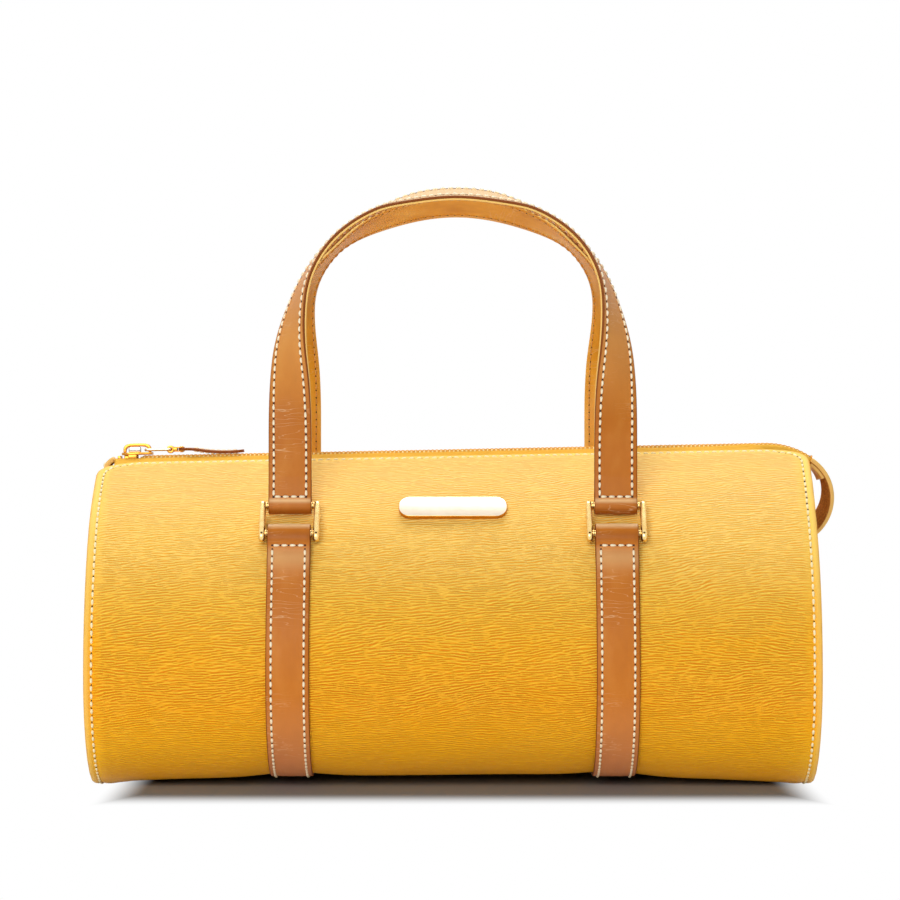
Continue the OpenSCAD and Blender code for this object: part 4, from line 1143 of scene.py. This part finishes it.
def make_pull_leather(leather, threads):
    """The pull's leather: a narrow tongue with a rounded tip, rounded edges and a row of stitches."""
    steps = [(0, 3.4), (32.6, math.radians(-10)), (72.4, math.radians(16))]
    line = spline(walk((3.75, 0), 0, steps, 9), 0.7)
    length = lengths(line[:, :2])
    # the half width: narrow in the clasp, wider behind it, round at the tip
    half = np.where(length < 3.0, 2.9, 2.9 + 1.6 * smooth_step((length - 3.0) / 2.2))
    half = half * np.sqrt(np.clip(1 - (np.maximum(0, length - length[-1] + 2.4) / 2.42) ** 2.4, 0.02, 1))
    t = 0.65
    share = np.linspace(-1, 1, 11)
    x, z, h = line.T
    out = in_plane(-np.sin(h), np.cos(h))
    v = half[:, None] * np.concatenate([share, share[::-1]])
    o = t * (1 - 0.35 * np.abs(share) ** 8)
    o = np.concatenate([o, -o[::-1]])
    pts = in_plane(x, z)[:, None] + v[:, :, None] * [0, 1, 0] + out[:, None] * o[None, :, None]
    n, m = v.shape
    faces = grid_faces(n, m, close_cols=True).tolist() + end_caps(n, m)
    obj = new_mesh("pull_tongue", transformed(pts.reshape(-1, 3), PULL_MATRIX), faces, leather,
                   uv=np.stack([np.repeat(x, m), v.ravel()], 1),
                   marks={"paint": (np.abs(v) > half[:, None] * 0.93).astype(float).ravel()})
    finish_piece(fix_normals(obj), "pull", "tan_leather", "pull_leather")
    rows = slice(9, n - 4)
    for face, word in ((1, "top"), (-1, "under")):
        for edge, letter in EDGES:
            normal = out[rows] * face
            inward = (edge * (half[rows] - 1.3))[:, None] * [0, 1, 0]
            c = in_plane(x, z)[rows] + inward + normal * (t - 0.05)
            stitch_row(f"pull_tongue_stitches_{word}_{letter}", transformed(c, PULL_MATRIX),
                       normal @ np.array(PULL_MATRIX)[:3, :3].T, "pull", "tan_leather", threads,
                       pitch=2.6, radius=0.28)


# ---------------------------------------------------------------- inside

LINING_IN = LEATHER_T + 1.2
CLOTH_T = 0.5
LINING_L = 298.8
POCKET_L = 120


def section_cloth(name, x, s, inset, fold_at, height_at, material):
    """A cloth that follows the barrel's section at an inset, with fold_at(x) millimetres of fold."""
    y, z, ny, nz = section(s, inset)
    rows = []
    for xx in x:
        fold = fold_at(xx)
        along = np.full(len(s), xx)
        rows.append(np.stack([along, y - ny * fold, height_at(along, z - nz * fold)], -1))
    return new_mesh(name, np.array(rows), grid_faces(len(x), len(s)), material, uv=grid_uv(x, s))


def make_lining(cloth):
    """One cloth hangs from the zip tapes round the inside; a disc closes each end."""
    s_start = TOP_R * math.asin(16.6 / TOP_R)
    s = np.linspace(s_start, S_ALL - s_start, 150)

    def fold_at(x):
        fold = 0.5 + 0.5 * np.sin(x / 11 + 1.2 * np.sin(s / 37)) * np.sin(s / 23 + 0.5)
        return fold * 0.55 * np.sin(math.pi * (s - s[0]) / (s[-1] - s[0]))

    x = np.linspace(-LINING_L / 2, LINING_L / 2, 90)
    obj = section_cloth("cloth_lining", x, s, LINING_IN, fold_at, settle, cloth)
    apply_modifiers(thicken(obj, CLOTH_T))
    finish_piece(obj, "bag", "lining_cloth", "lining")
    for side, label in SIDES:
        make_end_cloth(side, label, cloth)


def make_end_cloth(side, label, cloth):
    """A disc of cloth over the end stiffener, slightly uneven and with a point at its middle."""
    s = np.linspace(0, S_ALL, 160, endpoint=False) + 0.5
    y, z = end_line(side, 3.6, s)
    rings = []
    for f in np.concatenate([np.linspace(1, 0.15, 22), [0.04]]):
        yy, zz = y * f, PANEL_MID_Z + (z - PANEL_MID_Z) * f
        puff = 0.25 * np.sin(yy / 13 + 0.4) * np.sin(zz / 17)
        rings.append(np.stack([side * (150.92 - puff * (1 - f)), yy, zz], -1))
    p = np.concatenate(rings + [np.array([[side * 150.92, 0, PANEL_MID_Z]])])
    last, n = (len(rings) - 1) * len(s), len(s)
    faces = grid_faces(len(rings), n, close_cols=True).tolist()
    faces += [[last + i, last + (i + 1) % n, len(p) - 1] for i in range(n)]
    obj = new_mesh(f"end_cloth_{label}", p, faces, cloth, uv=p[:, 1:])
    apply_modifiers(thicken(obj, 0.4, 0))
    finish_piece(obj, "bag", "lining_cloth", f"{label}_end_lining")


def make_pocket(cloth, leather, threads):
    """A slip pocket on the back wall of the lining, with a leather binding along its mouth."""
    inset = LINING_IN + CLOTH_T + 0.3
    x = np.linspace(-POCKET_L / 2, POCKET_L / 2, 60)
    top, foot = pin_s(math.radians(32)), pin_s(math.radians(4))
    s = S_ALL - np.linspace(top, foot, 44)
    down = np.linspace(0, 1, len(s))

    def bag_at(x):
        bag = 1.1 * math.sin(math.pi * (x / POCKET_L + 0.5)) * np.sin(math.pi * down * 0.5 + 0.2) ** 2
        return 0.3 + bag * (0.8 + 0.2 * math.sin(x / 7))

    obj = section_cloth("slip_pocket_cloth", x, s, inset, bag_at, lambda x, z: z, cloth)
    apply_modifiers(thicken(obj, CLOTH_T, 0))
    finish_piece(obj, "bag", "lining_cloth", "inner_pocket")

    y, z, ny, nz = section(np.full(len(x), S_ALL - (top + 4.4)), inset + 1.65)
    centre = np.stack([x, y, z], -1)
    normal = np.stack([np.zeros(len(x)), -ny, -nz], -1)
    across = unit(np.cross(normal, X_WAY))
    obj = ribbon("pocket_edge_binding", centre, across, normal, 8.6, 0.9, leather)
    finish_piece(obj, "bag", "tan_leather", "pocket_trim")
    for edge, letter in EDGES:
        stitch_row(f"pocket_binding_stitches_{letter}", centre + across * edge * 2.8 + normal * 0.5, normal,
                   "bag", "tan_leather", threads)


# ---------------------------------------------------------------- materials

def srgb(r, g, b):
    def lin(c):
        c /= 255
        return c / 12.92 if c <= 0.04045 else ((c + 0.055) / 1.055) ** 2.4
    return (lin(r), lin(g), lin(b), 1.0)


def blend(a, b, share):
    return tuple(p + (q - p) * share for p, q in zip(a, b))


class Nodes:
    """Adds shader nodes to the tree of a material or world, and links them."""

    def __init__(self, owner):
        owner.use_nodes = True
        self.owner, self.tree = owner, owner.node_tree

    def put(self, socket, value):
        if isinstance(value, bpy.types.NodeSocket):
            self.tree.links.new(value, socket)
        else:
            socket.default_value = value

    def add(self, kind, **values):
        """A node, with its settings and sockets filled by name; _ in a name stands for a space."""
        node = self.tree.nodes.new("ShaderNode" + kind)
        for key, value in values.items():
            if hasattr(node, key):
                setattr(node, key, value)
            else:
                self.put(node.inputs[key.replace("_", " ")], value)
        return node

    def math(self, operation, *values):
        node = self.add("Math", operation=operation)
        for socket, value in zip(node.inputs, values):
            self.put(socket, value)
        return node.outputs[0]

    def product(self, *values):
        result = values[0]
        for value in values[1:]:
            result = self.math("MULTIPLY", result, value)
        return result

    def scaled(self, vector, scale):
        node = self.add("VectorMath", operation="MULTIPLY")
        self.put(node.inputs[0], vector)
        self.put(node.inputs[1], scale)
        return node.outputs[0]

    def noise(self, vector, scale=1.0, detail=2.0, rough=0.5, distortion=0.0):
        return self.add("TexNoise", Vector=vector, Scale=scale, Detail=detail, Roughness=rough,
                        Distortion=distortion).outputs["Fac"]

    def cloud(self, vector, long, wide, detail, rough, distortion=0.0):
        """Noise with patches about long by wide millimetres."""
        return self.noise(self.scaled(vector, (1 / long, 1 / wide, 1)), 1.0, detail, rough, distortion)

    def ramp(self, value, stops):
        node = self.add("ValToRGB", Fac=value)
        elements = node.color_ramp.elements
        while len(elements) < len(stops):
            elements.new(0.5)
        for element, (at, colour) in zip(elements, stops):
            element.position = at
            element.color = colour
        return node.outputs[0]

    def grey(self, value, low, high, start=0.0, end=1.0, curve="LINEAR"):
        """value remapped from start..end to low..high, and kept between them."""
        return self.add("MapRange", interpolation_type=curve, Value=value, From_Min=start, From_Max=end,
                        To_Min=low, To_Max=high).outputs[0]

    def mix(self, share, a, b):
        node = self.add("Mix", data_type="RGBA")
        for index, value in ((0, share), (6, a), (7, b)):
            self.put(node.inputs[index], value)
        return node.outputs[2]

    def bump(self, height, strength, distance):
        return self.add("Bump", Height=height, Strength=strength, Distance=distance).outputs[0]

    def uv_mm(self):
        """The grain layer in millimetres: along the piece, then across it."""
        return self.scaled(self.add("UVMap", uv_map="grain").outputs[0], (UV_UNIT, UV_UNIT, 0))

    def object_mm(self):
        return self.scaled(self.add("TexCoord").outputs["Object"], (1 / MM, 1 / MM, 1 / MM))

    def height_share(self, low, high):
        """Height in the piece's own frame as a share of the way between two heights."""
        return self.grey(self.add("SeparateXYZ", Vector=self.object_mm()).outputs[2], 0, 1, low, high)

    def attribute(self, name):
        return self.add("Attribute", attribute_name=name).outputs["Fac"]

    def seen_directly(self):
        """1 for camera, glossy and transmission rays, so that floor and world show plain white."""
        path = self.add("LightPath").outputs
        return self.math("MAXIMUM", path["Is Camera Ray"],
                         self.math("MAXIMUM", path["Is Glossy Ray"], path["Is Transmission Ray"]))

    def out(self, **values):
        bsdf = self.tree.nodes["Principled BSDF"]
        for key, value in values.items():
            self.put(bsdf.inputs[key.replace("_", " ")], value)
        return self.owner


def new_nodes(name):
    return Nodes(bpy.data.materials.new(name))


def yellow_leather(name, top):
    """Dyed leather with a fine wavy grain across it, which fades out towards the pressed edges. Its colour
    is graded by height as painted light: painted shade low down, and a painted highlight towards top, the
    colour it turns to high up."""
    n = new_nodes(name)
    p = n.uv_mm()
    # height as a share, which grades the painted light below
    level = n.height_share(10, 140)
    # the grain runs along the barrel and turns slowly one way and the other
    turn = n.grey(n.cloud(p, 42, 26, 1.0, 0.5), math.pi / 2 - 0.5, math.pi / 2 + 0.26, 0.25, 0.75)
    grain = n.add("TexGabor", Vector=n.scaled(p, (0.46, 1.0, 1.0)), Scale=0.5, Frequency=1.75,
                  Anisotropy=0.88, Orientation_2D=turn)
    ridge = n.grey(grain.outputs["Value"], 0, 1, 0.41, 0.59)
    patchy = n.cloud(p, 24, 9, 2.0, 0.55)
    fine = n.cloud(p, 1.1, 0.5, 3.0, 0.6)
    edge = n.attribute("edge")
    amount = n.product(n.grey(patchy, 0.78, 1.0, 0.3, 0.6), n.grey(edge, 0.1, 1.0, 2.5, 8.0))
    height = n.math("ADD", n.product(ridge, amount), n.product(fine, 0.2))

    # painted light by height: darker orange low down is painted shade, paler towards top higher up is a
    # painted highlight, and the very foot is lighter again, a painted floor bounce
    middle = srgb(254, 174, 8)
    base = n.ramp(level, [(0.03, srgb(255, 192, 20)), (0.2, srgb(246, 162, 2)), (0.42, middle),
                          (0.72, blend(middle, top, 0.8)), (1.0, top)])
    bleached = n.grey(n.cloud(p, 46, 30, 3.0, 0.6), 0.0, 0.3, 0.45, 0.75)
    base = n.mix(bleached, base, srgb(254, 204, 72))
    # the grain's hollows are darkened as painted shade and its ridges lightened as a painted highlight,
    # both graded by height, the ridges nearly white at the top
    valley_shade = n.ramp(level, [(0.02, srgb(246, 156, 8)), (0.25, srgb(226, 118, 0)), (0.55, srgb(234, 138, 0)),
                            (0.85, srgb(246, 168, 40))])
    base = n.mix(n.product(n.math("SUBTRACT", 1.0, ridge), n.product(amount, 0.86)), base, valley_shade)
    crest = n.ramp(level, [(0.1, srgb(255, 206, 44)), (0.55, srgb(255, 224, 80)),
                           (0.9, blend(top, (1, 1, 1, 1), 0.22))])
    base = n.mix(n.product(ridge, n.product(amount, 0.62)), base, crest)
    # a paler band within a few millimetres of the cut edge: a painted highlight on the rolled edge
    base = n.mix(n.product(n.grey(edge, 1.0, 0.0, 0.5, 3.4), 0.75), base, srgb(252, 206, 108))
    base = n.mix(n.product(n.grey(edge, 1.0, 0.0, 0.15, 0.7), 0.6), base, srgb(206, 128, 34))
    return n.out(Base_Color=base, Roughness=n.grey(fine, 0.42, 0.56, 0.3, 0.7), Specular_IOR_Level=0.12,
                 Normal=n.bump(height, 0.85, 0.0004))


def tan_leather(name, low, mid, high, paint, painted_light_by_height=None):
    """Smooth tan leather: faint pores and creases, a painted highlight on the tops of its folds and painted
    shade beside them, with edge paint along its edges.
    The last argument holds (share of the handle's height, colour) pairs that paint light by height: a
    painted highlight at the crown, on the shoulders and at the base strap's foot, painted shade down the
    legs."""
    n = new_nodes(name)
    p = n.uv_mm()
    base = n.ramp(n.cloud(p, 26, 12, 3.0, 0.55), [(0.32, low), (0.52, mid), (0.74, high)])
    pores = n.cloud(p, 0.5, 0.45, 2.0, 0.6)
    crease = n.cloud(p, 1.1, 9, 3.0, 0.6, 0.6)
    scuff = n.cloud(p, 9, 1.3, 4.0, 0.7)
    base = n.mix(n.grey(pores, 0.0, 0.22, 0.45, 0.75), base, low)
    base = n.mix(n.grey(scuff, 0.0, 0.28, 0.58, 0.8), base, high)
    # painted light by height: lighter at the crowns, shoulders and the strap's foot as painted highlight,
    # darker down the legs as painted shade
    if painted_light_by_height:
        base = n.mix(0.6, base, n.ramp(n.height_share(0, HANDLE_TOP), painted_light_by_height))
    # the bend mark paints light: a painted highlight where it is above nought, painted shade where it is
    # below nought
    bend = n.attribute("bend")
    base = n.mix(n.grey(bend, 0.0, 0.8, 0.0, 0.9), base, srgb(255, 216, 158))
    base = n.mix(n.grey(bend, 0.8, 0.0, -0.9, 0.0), base, srgb(122, 52, 14))
    # crease lines lie where a slow noise crosses its middle, in worn places only
    folds = n.math("ABSOLUTE", n.math("SUBTRACT", n.cloud(p, 2.4, 17, 2.0, 0.5, 0.4), 0.5))
    worn = n.grey(n.cloud(p, 34, 40, 1.0, 0.5), 0.0, 1.0, 0.5, 0.66)
    line = n.product(n.grey(folds, 1.0, 0.0, 0.0, 0.016), worn, 0.5)
    base = n.mix(n.attribute("paint"), n.mix(line, base, srgb(250, 210, 160)), paint)
    height = n.math("ADD", n.product(pores, 0.5), n.product(crease, 0.6))
    return n.out(Base_Color=base, Roughness=n.grey(scuff, 0.34, 0.48, 0.3, 0.7), Specular_IOR_Level=0.17,
                 Normal=n.bump(n.math("SUBTRACT", height, line), 0.35, 0.00022))


def plain(name, low, high, scale, detail, rough, shine, bump=None, stretch=None, full=0.7):
    """A material with one noise, which reaches the colour high at full: its two colours, a range of
    roughness (shine) and a bump (strength, depth)."""
    n = new_nodes(name)
    p = n.object_mm()
    spot = n.noise(n.scaled(p, stretch) if stretch else p, scale, detail, rough)
    if bump:
        n.out(Normal=n.bump(spot, *bump))
    return n.out(Base_Color=n.ramp(spot, [(0.3, low), (full, high)]), Roughness=n.grey(spot, *shine))


def metal(name, colour, second, rough_low, rough_high, scratch=1.0):
    """Plated metal: slightly uneven tone, fine scratches, and roughness that varies in fine patches."""
    n = new_nodes(name)
    p = n.object_mm()
    tone = n.noise(p, 0.35, 3.0, 0.6)
    fine = n.noise(n.scaled(p, (0.6, 4.0, 4.0)), 1.0, 4.0, 0.7)
    return n.out(Base_Color=n.mix(n.grey(tone, 0.0, 0.6, 0.4, 0.75), colour, second), Metallic=1.0,
                 Roughness=n.grey(fine, rough_low, rough_high, 0.35, 0.7),
                 Normal=n.bump(fine, 0.08 * scratch, 0.0001))


def woven_tape(name, low, high, rib):
    n = new_nodes(name)
    p = n.uv_mm()
    along, across, _ = n.add("SeparateXYZ", Vector=p).outputs
    warp, weft = (n.math("SINE", n.product(n.math(sign, along, across), 2 * math.pi / rib))
                  for sign in ("ADD", "SUBTRACT"))
    weave = n.grey(n.product(warp, weft), 0, 1, -1, 1)
    fuzz = n.noise(p, 3.0, 3.0, 0.7)
    base = n.mix(n.grey(fuzz, 0.0, 0.35, 0.4, 0.8), n.mix(weave, low, high), low)
    height = n.math("ADD", weave, n.product(fuzz, 0.6))
    return n.out(Base_Color=base, Roughness=n.grey(fuzz, 0.7, 0.9), Normal=n.bump(height, 0.6, 0.0003))


# ---------------------------------------------------------------- camera, light and floor

CAMERA_X, CAMERA_Y, CAMERA_Z = -1.26, -1474, 146.5
WORLD_LIGHT = 0.16
FLOOR_TONE = (0.88, 0.9, 0.92, 1)
# the floor's tone as the camera sees it near the bag: dark grey, a painted shadow
FLOOR_SEEN_SHADOW = (0.25, 0.26, 0.27, 1)


def make_camera():
    data = bpy.data.cameras.new("photo_camera")
    data.lens = 131.28
    data.sensor_width = 36
    data.clip_start = 0.05
    camera = bpy.data.objects.new("photo_camera", data)
    camera.location = ((CAMERA_X - FRAME_SHIFT) * MM, CAMERA_Y * MM, CAMERA_Z * MM)
    camera.rotation_euler = (math.pi / 2, 0, 0)
    bpy.context.scene.collection.objects.link(camera)
    bpy.context.scene.camera = camera


def area_light(name, at, target, size, power, size_y=None):
    data = bpy.data.lights.new(name, "AREA")
    data.shape = "RECTANGLE"
    data.size = size
    data.size_y = size_y or size
    data.energy = power
    lamp = bpy.data.objects.new(name, data)
    lamp.location = at
    lamp.rotation_euler = (Vector(target) - Vector(at)).to_track_quat("-Z", "Y").to_euler()
    bpy.context.scene.collection.objects.link(lamp)


def make_world():
    """Weak light from all sides, and plain white where it is seen."""
    world = bpy.data.worlds.new("studio")
    bpy.context.scene.world = world
    n = Nodes(world)
    back = n.tree.nodes["Background"]
    n.put(back.inputs["Strength"], n.grey(n.seen_directly(), WORLD_LIGHT, 1.0))
    n.put(back.inputs["Color"], (1, 1, 1, 1))


def make_floor():
    """A pale floor that turns to plain white away from the bag. Near the bag the camera sees it dark grey,
    a painted shadow that deepens the bag's own shadow.
    """
    bm = bmesh.new()
    bmesh.ops.create_grid(bm, x_segments=24, y_segments=24, size=6.0)
    mesh = bpy.data.meshes.new("floor")
    bm.to_mesh(mesh)
    bm.free()
    floor = bpy.data.objects.new("floor", mesh)
    floor.location = (0, 2.0, -0.0002)
    bpy.context.scene.collection.objects.link(floor)

    n = new_nodes("pale_floor")
    n.tree.nodes.clear()
    # camera rays see the floor near the bag in dark grey, a painted shadow; other rays get the pale tone
    tone = n.mix(n.add("LightPath").outputs["Is Camera Ray"], FLOOR_TONE, FLOOR_SEEN_SHADOW)
    at = n.add("SeparateXYZ", Vector=n.add("NewGeometry").outputs["Position"]).outputs
    # the fade starts short of the barrel's ends and just off its front and back
    ends = n.math("ABSOLUTE", n.math("ADD", at[0], (FRAME_SHIFT - 4) * MM))
    ends = n.math("SUBTRACT", n.product(n.math("SUBTRACT", ends, (HALF_L - 22) * MM), 2.6), 0.005)
    front = n.math("SUBTRACT", n.math("ABSOLUTE", at[1]), HALF_D * MM)
    share = n.grey(n.math("MAXIMUM", ends, front), 0.0, 1.0, -0.005, 0.045, "SMOOTHSTEP")
    mix = n.add("MixShader", Fac=n.product(share, n.seen_directly()))
    n.put(mix.inputs[1], n.add("BsdfDiffuse", Color=tone).outputs[0])
    n.put(mix.inputs[2], n.add("Emission").outputs[0])
    n.add("OutputMaterial", Surface=mix.outputs[0])
    mesh.materials.append(n.owner)


# ---------------------------------------------------------------- the bag

def dress_node(name, material):
    """Gives a CAD node that stays its own material."""
    materials = bpy.data.objects.get(name).data.materials
    materials.clear()
    materials.append(material)


def build():
    make_camera()
    make_world()
    area_light("top_behind", (0.0, 0.35, 1.45), (0, 0, 0.08), 1.3, 18, 0.55)
    area_light("front_fill", (-0.45, -1.9, 0.8), (0, 0, 0.07), 1.2, 25)
    make_floor()
    bpy.context.scene.view_settings.view_transform = "Standard"

    # two copies of one leather: the barrel's turns to a pale painted highlight high up, the end panels'
    # copy to a weaker, more orange one
    yellow = yellow_leather("grained_yellow_leather", srgb(254, 216, 104))
    shaded = yellow_leather("grained_end_leather", srgb(246, 178, 34))
    # the tan leather's height ramp is painted light: a painted highlight low by the floor, on the shoulders
    # and nearly white at the crown, painted shade down the legs
    tan = tan_leather("tan_bridle_leather", srgb(178, 92, 12), srgb(194, 106, 20), srgb(212, 134, 54),
                      srgb(134, 68, 16), painted_light_by_height=[
                          (0.05, srgb(232, 161, 106)), (0.16, srgb(205, 125, 45)),
                          (0.25, srgb(197, 117, 30)), (0.61, srgb(183, 110, 34)),
                          (0.744, srgb(238, 172, 95)), (0.91, srgb(232, 166, 100)),
                          (0.985, srgb(247, 226, 175))])
    inside = tan_leather("golden_inner_leather", srgb(212, 138, 28), srgb(230, 158, 44), srgb(242, 182, 78),
                         srgb(246, 200, 112))
    pale = tan_leather("yellow_tab_leather", srgb(226, 156, 52), srgb(240, 176, 70), srgb(250, 200, 110),
                       srgb(248, 200, 112))
    # the right loop's inner faces: rough and dark brown
    brown = plain("dark_brown_loop_underside", srgb(150, 82, 18), srgb(226, 154, 66), 1.1, 5.0, 0.75, (0.78, 0.95),
                  (0.8, 0.0008), full=0.68)
    needle = plain("needle_hole_dark", srgb(48, 20, 4), srgb(84, 40, 10), 2.4, 2.0, 0.6, (0.7, 0.9))

    def sewing(name, low, high):
        """A thread's material, with the one for its needle holes."""
        return [plain(name, low, high, 1.0, 2.0, 0.6, (0.45, 0.65), (0.5, 0.0002), (3.2, 3.2, 3.2)), needle]

    body_threads = sewing("pale_yellow_thread", srgb(250, 230, 168), srgb(255, 244, 204))
    threads = sewing("cream_waxed_thread", srgb(248, 226, 180), srgb(255, 250, 226))
    inner_threads = sewing("amber_waxed_thread", srgb(196, 128, 44), srgb(226, 166, 84))
    gold = metal("gold_plating", srgb(212, 148, 60), srgb(186, 120, 40), 0.18, 0.32)
    bright = metal("bright_gold_plating", srgb(236, 200, 132), srgb(216, 168, 92), 0.12, 0.24)
    pale_gold = metal("pale_gold_plating", srgb(250, 222, 152), srgb(230, 176, 88), 0.24, 0.3, 0.1)
    polished = metal("polished_plate_metal", srgb(214, 202, 184), srgb(206, 192, 170), 0.32, 0.38, 0.4)
    silver = metal("nickel_plating", srgb(186, 178, 168), srgb(154, 146, 136), 0.14, 0.28)
    silver_gold = metal("silver_gold_wire", srgb(214, 196, 164), srgb(186, 164, 128), 0.14, 0.28)
    # the dark discs on the link bars: a painted dark reflection
    dark = metal("painted_dark_reflection", srgb(96, 62, 20), srgb(60, 36, 12), 0.4, 0.6)
    coil = plain("amber_nylon_coil", srgb(255, 218, 128), srgb(255, 234, 164), 0.5, 3.0, 0.6, (0.25, 0.4),
                 (0.15, 0.0002))
    tape = woven_tape("amber_woven_tape", srgb(238, 166, 28), srgb(255, 206, 74), 0.9)
    cord = woven_tape("coil_sewing_cord", srgb(226, 146, 30), srgb(255, 208, 96), 0.6)
    cloth = woven_tape("woven_lining_cloth", srgb(196, 158, 104), srgb(226, 194, 146), 0.8)
    board = plain("pressed_fibre_board", srgb(120, 92, 62), srgb(168, 138, 100), 1.0, 5.0, 0.75,
                  (0.8, 0.95), (0.5, 0.0004), (0.6, 2.0, 2.0))

    make_body(yellow)
    body_seams(body_threads)
    for side, label in SIDES:
        make_end_panel(side, label, shaded)
        make_base_strap(side, label, tan, threads)
        for _, word in FACES:
            make_link(side, label, word, pale_gold, bright, dark)
    for back, word in FACES:
        make_handle(back, word, tan, inside, threads, inner_threads)
    make_plate(polished, gold)
    make_zip(coil, tape, cord, gold)
    make_loop([pale, brown])
    make_tab([pale, inside], threads)
    make_slider(gold, silver)
    make_pull(silver_gold, gold, bright, tan, threads)
    make_lining(cloth)
    make_pocket(cloth, tan, threads)
    for name in ("left_end_stiffener", "right_end_stiffener", "base_stiffener"):
        dress_node(name, board)
    for name in ("plate_posts", "plate_washers"):
        dress_node(name, gold)


build()
